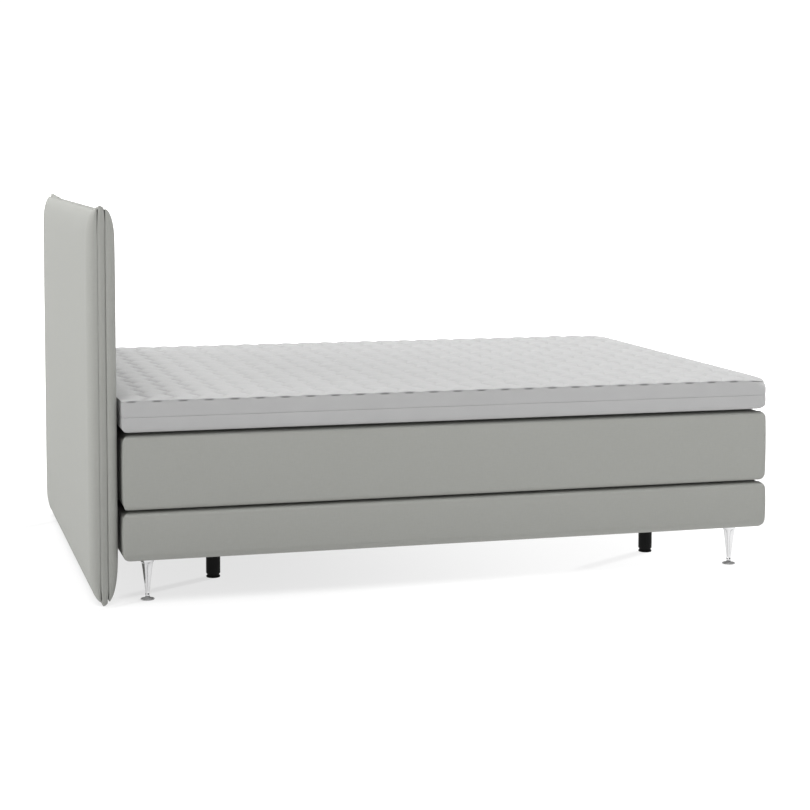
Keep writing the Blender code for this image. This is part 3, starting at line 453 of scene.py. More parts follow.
def woven(name, colour, thread):
    """A plain weave on the UV map: two sets of threads that cross over and under, with
    slubs, which are lighter and darker stretches of single threads."""
    finish = Finish(name, colour, 0.92)
    uv = finish.place("UV")
    u, v, _ = finish.parts(uv)
    turn = math.pi / thread
    warp = (u * turn).sin()
    weft = (v * turn).sin()
    over = warp * weft
    height = abs(warp) * 0.5 + abs(weft) * 0.5 + over * 0.35
    along = finish.noise(finish.scaled(uv, (0.35 / thread, 0.05 / thread, 1.0)), 1.0, 1.0)
    beside = finish.noise(finish.scaled(uv, (0.05 / thread, 0.35 / thread, 1.0)), 1.0, 1.0)
    cloud = finish.noise(uv, 9.0, 3.0)
    tone = along * 0.45 + beside * 0.45 + cloud * 0.1
    finish.tint((tone - 0.5) * 1.4 + height * 0.25 + 0.35, colour, 0.95, 1.05)
    finish.set(Roughness=0.97 - height * 0.08)
    finish.bump(height + finish.noise(uv, 0.5 / thread, 2.0) * 0.4, thread * 0.22, 0.8)
    return finish


def knitted(name, colour, loop):
    """A fine knit on the UV map: columns of slanted loops."""
    finish = Finish(name, colour, 0.88, sheen=0.2)
    uv = finish.place("UV")
    u, v, _ = finish.parts(uv)
    turn = 2 * math.pi / loop
    slant = (u * turn).sin()
    loops = ((v + slant * (loop * 0.18)) * turn).sin()
    height = loops * 0.5 + 0.5
    rib = abs((u * (turn / 2)).sin())
    cloud = finish.noise(uv, 14.0, 3.0)
    finish.tint(height * 0.3 + rib * 0.25 + cloud * 0.7 - 0.12, colour, 0.94, 1.06)
    finish.bump(height * 0.5 + rib * 0.5, loop * 0.2, 0.5)
    return finish


def timber(name, colour, axis):
    """Sawn softwood: growth rings along one axis, bent by noise, with fine pores."""
    finish = Finish(name, colour, 0.62)
    place = finish.place()
    stretch = tuple(1.5 if k == axis else 14.0 for k in range(3))
    grain = finish.noise(finish.scaled(place, stretch), 1.0, 3.0)
    fine = finish.noise(finish.scaled(place, tuple(12 * s for s in stretch)), 1.0, 2.0)
    rings = (grain * 40.0).sin() * 0.5 + 0.5
    finish.tint(rings * 0.7 + fine * 0.5, colour, 0.78, 1.12)
    finish.set(Roughness=0.7 - rings * 0.12)
    finish.bump(rings * 0.3 + fine, 0.0004, 0.5)
    return finish


def foamed(name, colour):
    """Open-cell foam: small pits of two sizes."""
    finish = Finish(name, colour, 0.95)
    place = finish.place()
    cells = finish.add("TexVoronoi", None, {"Vector": place, "Scale": 420.0})
    cloud = finish.noise(place, 6.0, 3.0)
    finish.tint(cells * 0.6 + cloud * 0.5, colour, 0.82, 1.05)
    finish.bump(cells, 0.0008, 0.7)
    return finish


def felted(name, colour):
    """Non-woven cloth: bonded dots on a fibrous sheet."""
    finish = Finish(name, colour, 0.9)
    place = finish.place()
    x, y, _ = finish.parts(place)
    dots = (x * 1570.0).sin() * (y * 1570.0).sin()
    fibres = finish.noise(place, 260.0, 3.0)
    finish.tint(dots * 0.25 + fibres * 0.8, colour, 0.7, 1.35)
    finish.bump(dots * 0.5 + fibres, 0.0002, 0.6)
    return finish


def moulded(name, colour, roughness, gloss):
    """Moulded plastic: a fine grain and slightly uneven gloss."""
    finish = Finish(name, colour, roughness)
    place = finish.place()
    grain = finish.noise(place, 900.0, 2.0)
    cloud = finish.noise(place, 40.0, 2.0)
    finish.set(Roughness=cloud * 0.18 + (roughness - 0.09), Specular_IOR_Level=gloss)
    finish.tint(cloud, colour, 0.9, 1.12)
    finish.bump(grain, 0.0001, 0.35)
    return finish


def metal(name, colour, roughness, swirl):
    """Plated metal: even colour with faint polishing marks round the piece."""
    finish = Finish(name, colour, roughness, 1.0)
    place = finish.place()
    marks = finish.noise(finish.scaled(place, (60.0, 60.0, 900.0)), 1.0, 2.0)
    cloud = finish.noise(place, 30.0, 2.0)
    finish.set(Roughness=cloud * swirl + marks * swirl + (roughness - swirl))
    finish.tint(cloud, colour, 0.96, 1.02)
    finish.bump(marks, 0.00002, 0.3)
    return finish


GREY = (0.258, 0.261, 0.2445)
TOPPER = (0.301, 0.301, 0.301)
FINISHES = {
    "upholstery": woven("grey_upholstery_weave", GREY, 0.0011),
    "topper_knit": knitted("topper_knit", TOPPER, 0.0016),
    "border_knit": knitted("border_knit", shade(TOPPER, 1.03), 0.0018),
    "zip_tape": woven("zip_tape_weave", (0.26, 0.26, 0.26), 0.0006),
    "foam": foamed("foam_cells", (0.80, 0.76, 0.62)),
    "pockets": felted("spring_pocket_felt", (0.70, 0.71, 0.73)),
    "dust_cloth": felted("black_dust_cloth", (0.03, 0.03, 0.03)),
    "chrome": metal("polished_chrome", (0.64, 0.64, 0.645), 0.10, 0.03),
    "steel": metal("zinc_plated_steel", (0.62, 0.63, 0.65), 0.34, 0.08),
    "black": moulded("black_moulded_plastic", (0.0045, 0.0045, 0.0045), 0.6, 0.12),
    "glide": moulded("grey_glide_plastic", (0.33, 0.33, 0.33), 0.5, 0.3),
    "pine_x": timber("pine_along_x", (0.62, 0.43, 0.24), 0),
    "pine_y": timber("pine_along_y", (0.62, 0.43, 0.24), 1),
    "plywood": timber("plywood_board", (0.55, 0.38, 0.22), 0),
}


def finish_of(name):
    return FINISHES[name].material


# Base and mattress

def cover_profile(low, high, edges, sag, droop):
    """Closed section of a box cover with an open bottom, as (inset, height): from the
    middle of its top, which sags towards the edge by a quarter of a sine, over the edge's
    quarter ellipse, down a side that swells by a power of a sine, round the low edge,
    under the hem, which hangs by the droop, and back up inside."""
    (a, b), (c, d) = edges
    insets = np.array([0.68, 0.5, 0.36, 0.27, 0.2, 0.15, 0.11, 0.08, 0.058, 0.044])
    level = np.clip((insets - a) / 0.25, 0, 1)
    top = np.stack([insets, high - sag * (1 - np.sin(np.pi / 2 * level))], -1)
    crest = high - sag
    edge = arc((a + SIDE_SWELL, crest - b), (a, b), 90, 0, 14)
    floor = low - droop
    side = line((SIDE_SWELL, crest - b), (SIDE_SWELL, floor + d), 16)
    share = (side[:, 1] - floor - d) / (crest - floor - b - d)
    side[:, 0] -= SIDE_SWELL * np.sin(np.pi * np.clip(share, 0, 1)) ** 0.7
    under = arc((c + SIDE_SWELL, floor + d), (c, d), 0, -90, 12)
    inner = [(HEM_WIDTH, floor), (HEM_WIDTH, low + HEM_THICKNESS),
             (WALL_PADDING, low + HEM_THICKNESS), (WALL_PADDING, high - WALL_PADDING)]
    return np.concatenate([top, edge, side[:-1], under[:-1], inner])


def build_cover(name, node, body, low, high, side_edges, sag, inset=0.0, droop=0.0):
    """A padded cover whose long sides and ends have their own sections. Between the two,
    round a corner, the sections are mixed by the square of the normal's x."""
    samples = plan_samples(14, (70, 50))
    ends = plan_rings(cover_profile(low, high, END_EDGES, sag, droop), samples, inset)
    sides = plan_rings(cover_profile(low, high, side_edges, sag, droop), samples, inset)
    flank = samples[1][:, :1] ** 2
    rings = sides * flank + ends * (1 - flank)
    outer = slice(0, -4)
    wave = ripple(rings[outer], COVER_RIPPLE)
    away = rings[outer][..., :2] - [0.0, BED_Y]
    away /= np.linalg.norm(away, axis=-1, keepdims=True)
    level = (high - rings[outer][..., 2]) / END_EDGES[0][1]
    rings[outer, :, :2] += away * (wave * np.clip(level, 0, 1))[..., None]
    piece = ring_piece(name, rings, finish_of("upholstery"), sharp_degrees=60)
    dress(piece, body, node)


# Topper

def sewn_wave(x):
    """The sideways swing of a sewn line, from -1 to 1, at a place across the bed."""
    return np.cos(2 * np.pi * (x + HALF_WIDTH) / WAVE_LENGTH)


def corner_drop(x, y):
    """How far the topper's top lies lower near its foot corners: a bell curve."""
    away = (np.abs(x) - HALF_WIDTH) ** 2 + (y + HALF_LENGTH) ** 2
    return CORNER_DROP * np.exp(-away / CORNER_DROP_AREA)


def quilt_points():
    """The grid of the quilted surface, and each point's place counted in channels. Rows
    lie close together beside a sewn line and follow its wave; columns lie close together
    at the border, and the ends of a row keep to the topper's rounded outline."""
    shares = [0, 0.025, 0.07, 0.14, 0.23, 0.34, 0.45, 0.55, 0.66, 0.77, 0.86, 0.93, 0.975]
    phase = (np.arange(CHANNELS)[:, None] + np.array(shares)).ravel()
    phase = np.concatenate([phase, [CHANNELS]])
    extra = np.array([0.012, 0.12, 0.18, 0.28])
    phase = np.unique(np.concatenate([phase, extra, CHANNELS - extra]))
    near = np.array([0, 0.0012, 0.0028, 0.005, 0.0085, 0.013, 0.019])
    across = spaced(1.0, near / HALF_WIDTH, 0.006 / HALF_WIDTH)
    x, rows = np.meshgrid(across, phase)
    y0 = rows * PITCH - HALF_LENGTH
    radius = np.where(y0 < 0, SEAM_FOOT_RADIUS, HEAD_RADIUS)
    past = np.clip(np.abs(y0) - (HALF_LENGTH - radius), 0, radius)
    half = HALF_WIDTH - radius + np.sqrt(np.maximum(radius ** 2 - past ** 2, 0))
    x = x * half
    sew = np.clip(np.minimum(rows, CHANNELS - rows), 0, 1)
    y = y0 + WAVE_SWING * sewn_wave(x) * sew
    return x, y, rows


def border_distance(x, y):
    """How far a point lies inside the topper's rounded outline, and the outward direction."""
    radius = np.where(y < 0, SEAM_FOOT_RADIUS, HEAD_RADIUS)
    q = np.stack([np.abs(x) - HALF_WIDTH + radius, np.abs(y) - HALF_LENGTH + radius], -1)
    outside = np.maximum(q, 0)
    length = np.linalg.norm(outside, axis=-1)
    inside = np.minimum(q.max(-1), 0)
    distance = radius - length - inside
    flat = np.where(q[..., :1] > q[..., 1:], np.array([1.0, 0.0]), np.array([0.0, 1.0]))
    length = length[..., None]
    outward = np.where(length > 1e-9, outside / np.maximum(length, 1e-9), flat)
    outward = outward * np.sign(np.stack([x, y], -1))
    return np.maximum(distance, 0), outward


def puff_of(rows):
    """0 on a sewn line and 1 midway between two, from places counted in channels."""
    away = np.abs(rows - np.round(rows)) * 2
    return np.sin(np.pi / 2 * np.clip(away, 0, 1)) ** 0.75


def build_quilt():
    """The quilted top: channels whose height is a power of a sine between sewn lines,
    uneven along their length and puckered beside the thread. At the border the height
    rolls down by a quarter circle and a quarter sine, and the cloth bulges over a lip
    and is tucked in at the seam, from which a wall goes down inside the border."""
    x, y, rows = quilt_points()
    away = np.abs(rows - np.round(rows)) * 2
    puff = puff_of(rows)
    edge_puff = puff ** 5
    slope = 1 - sewn_wave(x) ** 2
    puff = puff * (1 - CREST_DIP * slope)
    number = np.floor(rows)
    lively = np.sin(number * 2.3 + 9.0 * x) * np.sin(number * 1.1 + 21.0 * x + 0.5)
    distance, outward = border_distance(x, y)
    roll = np.clip(distance / EDGE_ROLL, 0, 1)
    roll = np.sqrt(1 - (1 - roll) ** 2)
    slow_roll = np.sin(np.pi / 2 * np.clip(distance / SLOW_ROLL, 0, 1))
    full = (1 + CREST_UNEVEN * lively) * ((1 - SLOW_SHARE) * roll + SLOW_SHARE * slow_roll)
    rise = CREST_RISE * puff * full + SEAM_RISE * roll
    pucker = np.exp(-away * PITCH / 2 / PUCKER_REACH) * np.clip(away * 6, 0, 1)
    gathers = np.sin(x * 610.0 + number * 1.7 + 2.0 * np.sin(x * 95.0))
    rise = rise + PUCKER_RISE * pucker * gathers * roll
    lip = np.exp(-((distance - LIP_INSET) / LIP_WIDTH) ** 2)
    tuck = np.exp(-(distance / TUCK_WIDTH) ** 2)
    bulge = (LIP_BULGE * lip - SEAM_TUCK * tuck) * edge_puff
    rise = rise - TUCK_FALL * tuck * edge_puff - corner_drop(x, y)
    x = x + outward[..., 0] * bulge
    y = y + outward[..., 1] * bulge
    points = np.stack([x, y + BED_Y, SEAM + rise], -1).reshape(-1, 3)
    quads, rim = grid_faces(*x.shape)
    stitched = np.stack([x, rows * PITCH], -1).reshape(-1, 2)
    count = len(rim)
    plan = points[rim]
    scale = np.array([(HALF_WIDTH - TOPPER_FABRIC - GAP) / HALF_WIDTH,
                      (HALF_LENGTH - TOPPER_FABRIC - GAP) / HALF_LENGTH])
    inner = (plan[:, :2] - [0, BED_Y]) * scale + [0, BED_Y]
    drop = corner_drop(inner[:, 0], inner[:, 1] - BED_Y)
    lower = [np.column_stack([inner, z - drop]) for z in (SEAM, QUILT_LOW)]
    start = len(points)
    points = np.concatenate([points, *lower])
    loops = [rim, np.arange(start, start + count), np.arange(start + count, start + 2 * count)]
    faces, uvs = close_below(points, quads, stitched, loops, slice(0, 2))
    piece = make_piece("topper_quilt", points, faces, uvs, quilt_finish())
    dress(piece, "topper", "topper_quilted_top")


def quilt_finish():
    """The knit with a sewn thread along each channel's edge: short stitches in the
    groove, painted shade beside each sewn line, and stronger painted shade in the valleys
    near the headboard, where little light falls. The UV map holds the place across the bed
    and the unrolled length."""
    finish = FINISHES["topper_knit"]
    uv = finish.place("UV")
    u, v, _ = finish.parts(uv)
    beside = (v / PITCH).aside() * PITCH
    thread = 1 - beside.step(0.0004, 0.0009)
    stitch = (u * (2 * math.pi / STITCH)).sin().step(-0.5, -0.1)
    # Painted shade: a little beside every sewn line, more in the valleys near the headboard
    shade_near = 1 - beside.step(0.0, 0.005)
    inside = v.step(0.02, 0.03) * (1 - v.step(2 * HALF_LENGTH - 0.03, 2 * HALF_LENGTH - 0.02))
    sewn = thread * stitch * inside
    by_headboard = v.step(1.60, 1.95)
    valley = 1 - beside.step(0.002, 0.022)
    shadow = shade_near * 0.2 + valley * by_headboard * 0.75
    finish.cover(shadow * inside, shade(TOPPER, 0.76))
    finish.cover(sewn, shade(TOPPER, 1.06))
    return finish.material


def border_finish():
    """The border's knit with a painted shadow in the folds right under the crests of the
    quilting, where the crests overhang. The sewn wave's swing differs a little between the
    two sides, so it is read off by x."""
    finish = FINISHES["border_knit"]
    x, y, z = finish.parts(finish.place())
    left, right = (WAVE_SWING * float(sewn_wave(x0)) for x0 in (-HALF_WIDTH, HALF_WIDTH))
    swing = x * ((right - left) / (2 * HALF_WIDTH)) + (left + right) / 2
    offset = ((y - swing + (HALF_LENGTH - BED_Y)) / PITCH).aside() * 2
    # Painted shadow under each crest's overhanging lip, only near the border's top
    lip_shadow = offset.step(0.50, 0.84) * z.step(BORDER_HIGH - 0.0042, BORDER_HIGH - 0.0024)
    lip_shadow = lip_shadow * abs(x).step(HALF_WIDTH - 0.012, HALF_WIDTH - 0.008)
    finish.cover(lip_shadow * 0.58, shade(TOPPER, 0.12))
    return finish.material


def border_side(low, high):
    """The line of the border's side between two levels, which swells out by a sine."""
    side = line((BORDER_SWELL, low), (BORDER_SWELL, high), 8)
    side[:, 0] -= BORDER_SWELL * np.sin(np.pi * (side[:, 1] - low) / (high - low))
    return side


def build_lower_border(samples):
    """The border's lower half with the topper's underside. As on the covers, the edge
    under the long sides differs from the one under the ends."""
    side = BORDER_SWELL
    low, high = TRAY_LOW, ZIP_LOW + ZIP_OVERLAP

    def tray(a, b):
        return plan_rings(np.concatenate([
            [(0.5, low), (0.25, low), (0.13, low - 0.0004), (0.08, low - 0.0008)],
            arc((a + side, low - 0.001 + b), (a, b), -90, 0, 12)[:-1],
            [(side, low + b - 0.001)], border_side(low + b, high - 0.003)[1:],
            [(side + 0.0002, high - 0.0007), (side + 0.0007, high - 0.0001),
             (side + 0.0012, high), (TOPPER_FABRIC, high), (TOPPER_FABRIC, low + 0.014),
             (0.014, low + TOPPER_FABRIC)],
        ]), samples, 0.0, TOPPER_FOOT_RADIUS)

    flank = samples[1][:, :1] ** 2
    rings = tray(*TRAY_SIDE_EDGE) * flank + tray(*TRAY_END_EDGE) * (1 - flank)
    lower = ring_piece("topper_border_lower", rings, finish_of("border_knit"))
    dress(lower, "topper", "topper_lower_cover")


def build_upper_border(samples):
    """The border's upper half. Its foot corners grow rounder towards its top, which is
    tucked in under the crests of the quilting."""
    side = BORDER_SWELL
    low, high = ZIP_HIGH - ZIP_OVERLAP, BORDER_HIGH
    profile = np.concatenate([
        [(side + 0.0012, low), (side + 0.0007, low + 0.0001), (side + 0.0002, low + 0.0007),
         (side, low + 0.003)],
        border_side(low + 0.003, high - 0.005),
        [(side * 0.5, high - 0.0032), (side * 0.3, high - 0.0022), (0.0, high - 0.0014),
         (0.0, high), (0.0045, high), (0.0045, low)],
    ])
    climb = np.clip((profile[:, 1] - high + BORDER_FLARE) / BORDER_FLARE, 0, 1) ** 2
    climb[-1] = 0.0
    foot_radius = TOPPER_FOOT_RADIUS + (SEAM_FOOT_RADIUS - TOPPER_FOOT_RADIUS) * climb
    rings = plan_rings(profile, samples, 0.0, foot_radius)
    x, y = rings[..., 0], rings[..., 1] - BED_Y
    rows = (y - WAVE_SWING * sewn_wave(x) + HALF_LENGTH) / PITCH
    depth = np.zeros(len(profile))
    depth[-6:-2] = 0.0006, 0.0020, 0.0032, 0.0036
    beside = np.clip((np.abs(x) - HALF_WIDTH + 0.008) / 0.002, 0, 1)
    inner = np.clip((HALF_LENGTH - np.abs(y)) / PITCH, 0, 1)
    rings[..., 2] -= corner_drop(x, y) * climb[:, None]
    rings[..., 0] -= np.sign(x) * depth[:, None] * puff_of(rows) ** 5 * beside * inner
    upper = ring_piece("topper_border_upper", rings, border_finish(), closed=True)
    dress(upper, "topper", "topper_upper_border")


def build_zip(samples):
    """The tape that shows as a thin line between the border's halves."""
    middle = (ZIP_LOW + ZIP_HIGH) / 2
    tape = [(0.0030, ZIP_LOW), (0.0026, middle - 0.0008), (0.0017, middle - 0.0003),
            (0.0017, middle + 0.0003), (0.0026, middle + 0.0008), (0.0030, ZIP_HIGH),
            (TOPPER_FABRIC, ZIP_HIGH), (TOPPER_FABRIC, ZIP_LOW)]
    rings = plan_rings(tape, samples, 0.0, TOPPER_FOOT_RADIUS)
    strip = ring_piece("topper_zip_tape", rings, finish_of("zip_tape"), closed=True)
    dress(strip, "topper", "topper_zip")


# Headboard

def edge_curve(inset, run, power=2.0):
    """A pad's rise from its edge: a quarter of a superellipse and a little slow crown."""
    quick = (1 - (1 - np.clip(inset / run, 0, 1)) ** power) ** (1 / power)
    slow = np.sin(np.pi / 2 * np.clip(inset / CROWN_RUN, 0, 1))
    return (1 - CROWN_SHARE) * quick + CROWN_SHARE * slow


def build_pad(side, facing):
    """A padded half on a grid. Each point's place across and up is pushed out near the
    corners by the ear. The thickness is the product of two edge curves, one from the
    side edges and one from the top and bottom. The front pad is a little fuller, and its
    side edges are squarer than the back pad's."""
    groove, ear, side_run, power, low_run, fuller, rim_tuck = PAD_SHAPES[side]
    half_x = BAND_HALF_X - EAR - groove
    half_z = BAND_HALF_Z - EAR - groove
    x, z = np.meshgrid(*(spaced(half, PAD_EDGE_STEPS, 0.035) for half in (half_x, half_z)))
    inset_x, inset_z = half_x - np.abs(x), half_z - np.abs(z)
    wide_x = x + np.sign(x) * ear * fade(inset_z, EAR_LENGTH) * fade(inset_x, EAR_REACH)
    wide_z = z + np.sign(z) * ear * fade(inset_x, EAR_LENGTH) * fade(inset_z, EAR_REACH)
    upright_run = np.where(z > 0, TOP_RUN, low_run)
    swell = edge_curve(inset_x, side_run, power) * edge_curve(inset_z, upright_run)
    thickness = PAD_OUTER - PAD_INNER + fuller - PAD_RIM - GAP
    depth = PAD_INNER + PAD_RIM + thickness * swell
    place = np.stack([wide_x, facing * depth, wide_z], -1)
    place += HEADBOARD_CENTRE
    uneven = ripple(place, PAD_RIPPLE)
    uneven *= np.clip(inset_x / 0.1, 0, 1) * np.clip(inset_z / 0.1, 0, 1)
    place[..., 1] += facing * (uneven - PAD_RIPPLE) * (uneven != 0)
    quads, border = grid_faces(*x.shape)
    points = place.reshape(-1, 3)
    cloth = np.stack([lengths(place, 1), lengths(place, 0)], -1).reshape(-1, 2)
    loops = [border]
    outline = points[border] - HEADBOARD_CENTRE
    to_corner = np.maximum(half_x - np.abs(outline[:, 0]), half_z - np.abs(outline[:, 2]))
    tuck = rim_tuck * (1 - 0.8 * fade(to_corner, EAR_LENGTH))
    for share, height in ((0.18, 0.55), (0.55, 0.15), (1.0, 0.0)):
        loop = outline.copy()
        loop[:, 0] *= 1 - tuck * share / half_x
        loop[:, 2] *= 1 - tuck * share / half_z
        loop[:, 1] = facing * (PAD_INNER + PAD_RIM * height)
        loops.append(np.arange(len(border)) + len(points))
        points = np.concatenate([points, loop + HEADBOARD_CENTRE])
    faces, uvs = close_below(points, quads, cloth, loops, slice(0, 3, 2))
    pad = make_piece(f"headboard_pad_{side}", points, faces, uvs, finish_of("upholstery"))
    dress(pad, "base", f"headboard_{side}_pad")


def band_rings():
    """Rings along the band's outline, one for each point of its round section, whose crest
    lies nearer its back. A side is straight and swells out to an ear at each corner, and
    the section narrows towards the ears' tips."""
    half_width = BAND_HALF_Y - GAP
    section = [(0.016, half_width, 0.0), (0.0060, half_width, 0.8)]
    for angle in np.radians(np.linspace(8, 172, 17)):
        to_front = (1 - math.cos(angle)) / 2
        inset = BAND_FRONT_INSET * to_front ** 1.8 + BAND_BACK_INSET * (1 - to_front) ** 5
        section.append((inset, half_width * math.cos(angle), 1.0))
    section += [(0.0090, -half_width, 0.8), (0.016, -half_width, 0.0)]
    near = np.linspace(0, 1, 15)[1:] ** 1.4
    middle = np.linspace(0, 1, 26)[1:-1]
    rings = []
    for inset, y, share in section:
        ear = EAR * share
        half = np.array([BAND_HALF_X - EAR - inset, BAND_HALF_Z - EAR - inset])
        loop = []
        for k in range(4):
            start, end = CORNERS[k] * half, CORNERS[(k + 1) % 4] * half
            run = np.linalg.norm(end - start)
            outward = (CORNERS[k] + CORNERS[(k + 1) % 4]) / 2
            along = np.concatenate([
                near * EAR_LENGTH, EAR_LENGTH + middle * (run - 2 * EAR_LENGTH),
                run - near[::-1] * EAR_LENGTH,
            ])
            distance = np.minimum(along, run - along)
            swell = ear * fade(distance, EAR_LENGTH)
            spread = swell * np.sign(along - run / 2)
            direction = (end - start) / run
            side = start + direction * (along + spread)[:, None]
            side += outward * swell[:, None]
            loop += [(CORNERS[k] * (half + ear))[None], side]
        loop = np.concatenate(loop)
        to_corner = np.abs(np.abs(loop) - [BAND_HALF_X, BAND_HALF_Z]).max(1)
        taper = 1 - BAND_TIP_TAPER * share * fade(to_corner, EAR_LENGTH) ** 2
        rings.append(np.column_stack([loop[:, 0], y * taper, loop[:, 1]]))
    return np.stack(rings) + HEADBOARD_CENTRE


def build_headboard():
    build_pad("back", 1)
    build_pad("front", -1)
    band = ring_piece("headboard_band", band_rings(), finish_of("upholstery"), closed=True)
    dress(band, "base", "headboard_edge_band")


# Legs

def turned_rings(profile, centre, count, star=None, turn=0.0):
    """Rings about a vertical axis for each (radius, height). Where star's radius is a
    smaller one, the ring has four fins: the radius swings between the two by a power of
    the cosine of twice the angle."""
    angle = np.linspace(0, 2 * np.pi, count, endpoint=False) + turn
    radius, height = (np.outer(column, np.ones(count)) for column in np.transpose(profile))
    if star is not None:
        fin = np.cos(2 * (angle - turn)) ** 2
        radius = star[:, None] + (radius - star[:, None]) * fin ** 1.2
    rings = np.stack([radius * np.cos(angle), radius * np.sin(angle), height], -1)
    return rings + np.array([centre[0], centre[1], 0.0])


def middle_of(node):
    """The middle of a solid in plan."""
    low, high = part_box(node)
    return (low.x + high.x) / 2, (low.y + high.y) / 2


def build_corner_leg(label):
    """A chrome leg with four fins that flare upwards under a round head, and its glide:
    a flat disc with a domed top on a pin. The fins' tips and the grooves between them are
    tables of (height, radius), read in straight lines between their rows."""
    centre = middle_of(f"corner_glide_{label}")
    bore = 0.0038
    fin = [(0.016, 0.0064), (0.026, 0.0068), (0.037, 0.0088), (0.050, 0.0100), (0.068, 0.0124),
           (0.087, 0.0146), (0.105, 0.0176), (0.111, 0.0188)]
    groove = [(0.016, 0.0060), (0.022, 0.0046), (0.040, 0.0050), (0.070, 0.0062),
              (0.095, 0.0078), (0.104, 0.0105), (0.109, 0.0150), (0.111, 0.0188)]
    levels = np.linspace(0.0165, 0.111, 44)
    low_end = [(bore, 0.026), (bore, 0.0080), (0.0064, 0.0080), (0.0068, 0.0084), (0.0065, 0.0160)]
    head = [(0.0190, 0.1125), (0.0190, LEG_TOP), *LEG_STUD]
    tips, valleys = (
        np.concatenate([low_end, np.column_stack([np.interp(levels, *np.transpose(table)), levels]),
                        head]) for table in (fin, groove)
    )
    rings = turned_rings(tips, centre, 96, valleys[:, 0], LEG_TURN)
    leg = ring_piece(f"chrome_leg_{label}", rings, finish_of("chrome"), sharp_degrees=50)
    dress(leg, "base", f"corner_leg_{label}")

    glide = [(0.0196, 0.0), (0.0200, 0.0004), (0.0200, 0.0018), (0.0192, 0.0030), (0.0150, 0.0042),
             (0.0095, 0.0056), (0.0080, 0.0064), (0.0070, 0.0072), (0.0060, 0.0076),
             (0.0035, 0.0076), (0.0035, 0.0245)]
    rings = turned_rings(glide, centre, 48)
    foot = ring_piece(f"leg_glide_{label}", rings, finish_of("glide"), sharp_degrees=40)
    dress(foot, "base", f"corner_glide_{label}")


def build_support_leg(label):
    """A black round leg with a bore in its bottom, and its screw foot: a disc, a neck and
    a ribbed plug."""
    centre = middle_of(f"screw_foot_{label}")
    leg = [(0.0153, 0.0465), (0.0153, 0.0105), (0.0185, 0.0105), (0.0200, 0.0112), (0.0213, 0.0132),
           (0.0215, 0.0150), (0.0215, 0.060), (0.0215, LEG_TOP - 0.0008), (0.0207, LEG_TOP),
           *LEG_STUD]
    piece = ring_piece(f"black_leg_{label}", turned_rings(leg, centre, 56), finish_of("black"),
                       sharp_degrees=35)
    dress(piece, "base", f"support_leg_{label}")
    foot = [(0.0195, 0.0), (0.0207, 0.0005), (0.0210, 0.0014), (0.0210, 0.0042), (0.0205, 0.0050),
            (0.0190, 0.0054), (0.0183, 0.0058), (0.0183, 0.0102), (0.0150, 0.0102)]
    thread = [(0.0150 - 0.0008 * (k % 2), 0.0115 + 0.0012 * k) for k in range(20)]
    foot += thread + [(0.0142, 0.0362)]
    piece = ring_piece(f"black_foot_{label}", turned_rings(foot, centre, 48), finish_of("black"),
                       sharp_degrees=35)
    dress(piece, f"screw_foot_{label}", f"screw_foot_{label}")


# Inner soft pieces and cloths

def build_slab(name, node, body, finish, soft=0.004, under=None, foot=FOOT_RADIUS):
    """A block of the bed's outline with rounded edges, in the space of its solid. A larger
    radius at the foot comes with corners that drop as the topper's do."""
    low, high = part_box(node)
    inset = HALF_WIDTH - high.x
    r = min(soft, (high.z - low.z) / 2.5)
    under = under or (r, r)
    profile = np.concatenate([
        [(0.5, high.z), (0.2, high.z), (0.06, high.z)],
        arc((r, high.z - r), (r, r), 90, 0, 4),
        arc((under[0], low.z + under[1]), under, 0, -90, 8),
        [(0.06, low.z), (0.2, low.z), (0.5, low.z)],
    ])
    rings = plan_rings(profile, plan_samples(6, (24, 18)), inset, foot)
    if foot > FOOT_RADIUS:
        upper = np.clip((rings[..., 2] - low.z) / (high.z - low.z), 0, 1)
        rings[..., 2] -= corner_drop(rings[..., 0], rings[..., 1] - BED_Y) * upper
    piece = ring_piece(name, rings, finish_of(finish))
    dress(piece, body, node)


def build_inner_pieces():
    """The foams, spring units and the mattress's underside, and the foam ring round the
    mattress's springs, whose section is a rounded rectangle."""
    build_slab("base_foam_layer", "base_foam", "base", "foam")
    build_slab("base_springs", "base_spring_unit", "base", "pockets")
    build_slab("comfort_foam", "mattress_comfort_foam", "mattress", "foam")
    build_slab("mattress_springs", "mattress_spring_core", "mattress", "pockets")
    build_slab("mattress_base_panel", "mattress_underside", "mattress", "dust_cloth",
               0.002)
    build_slab("topper_core", "topper_foam_core", "topper", "foam", 0.008, (0.034, 0.020),
               SEAM_FOOT_RADIUS + 0.004)
    low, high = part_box("mattress_edge_foam")
    outer = HALF_WIDTH - high.x
    width = 0.050
    r = 0.003
    ring = np.concatenate([
        arc((outer + r, high.z - r), (r, r), 90, 0, 4),
        arc((outer + r, low.z + r), (r, r), 0, -90, 4),
        arc((outer + width - r, low.z + r), (r, r), -90, -180, 4),
        arc((outer + width - r, high.z - r), (r, r), 180, 90, 4),
    ])
    piece = ring_piece("mattress_edge_ring", plan_rings(ring, plan_samples(6, (24, 18))),
                       finish_of("foam"), closed=True)
    dress(piece, "mattress", "mattress_edge_foam")


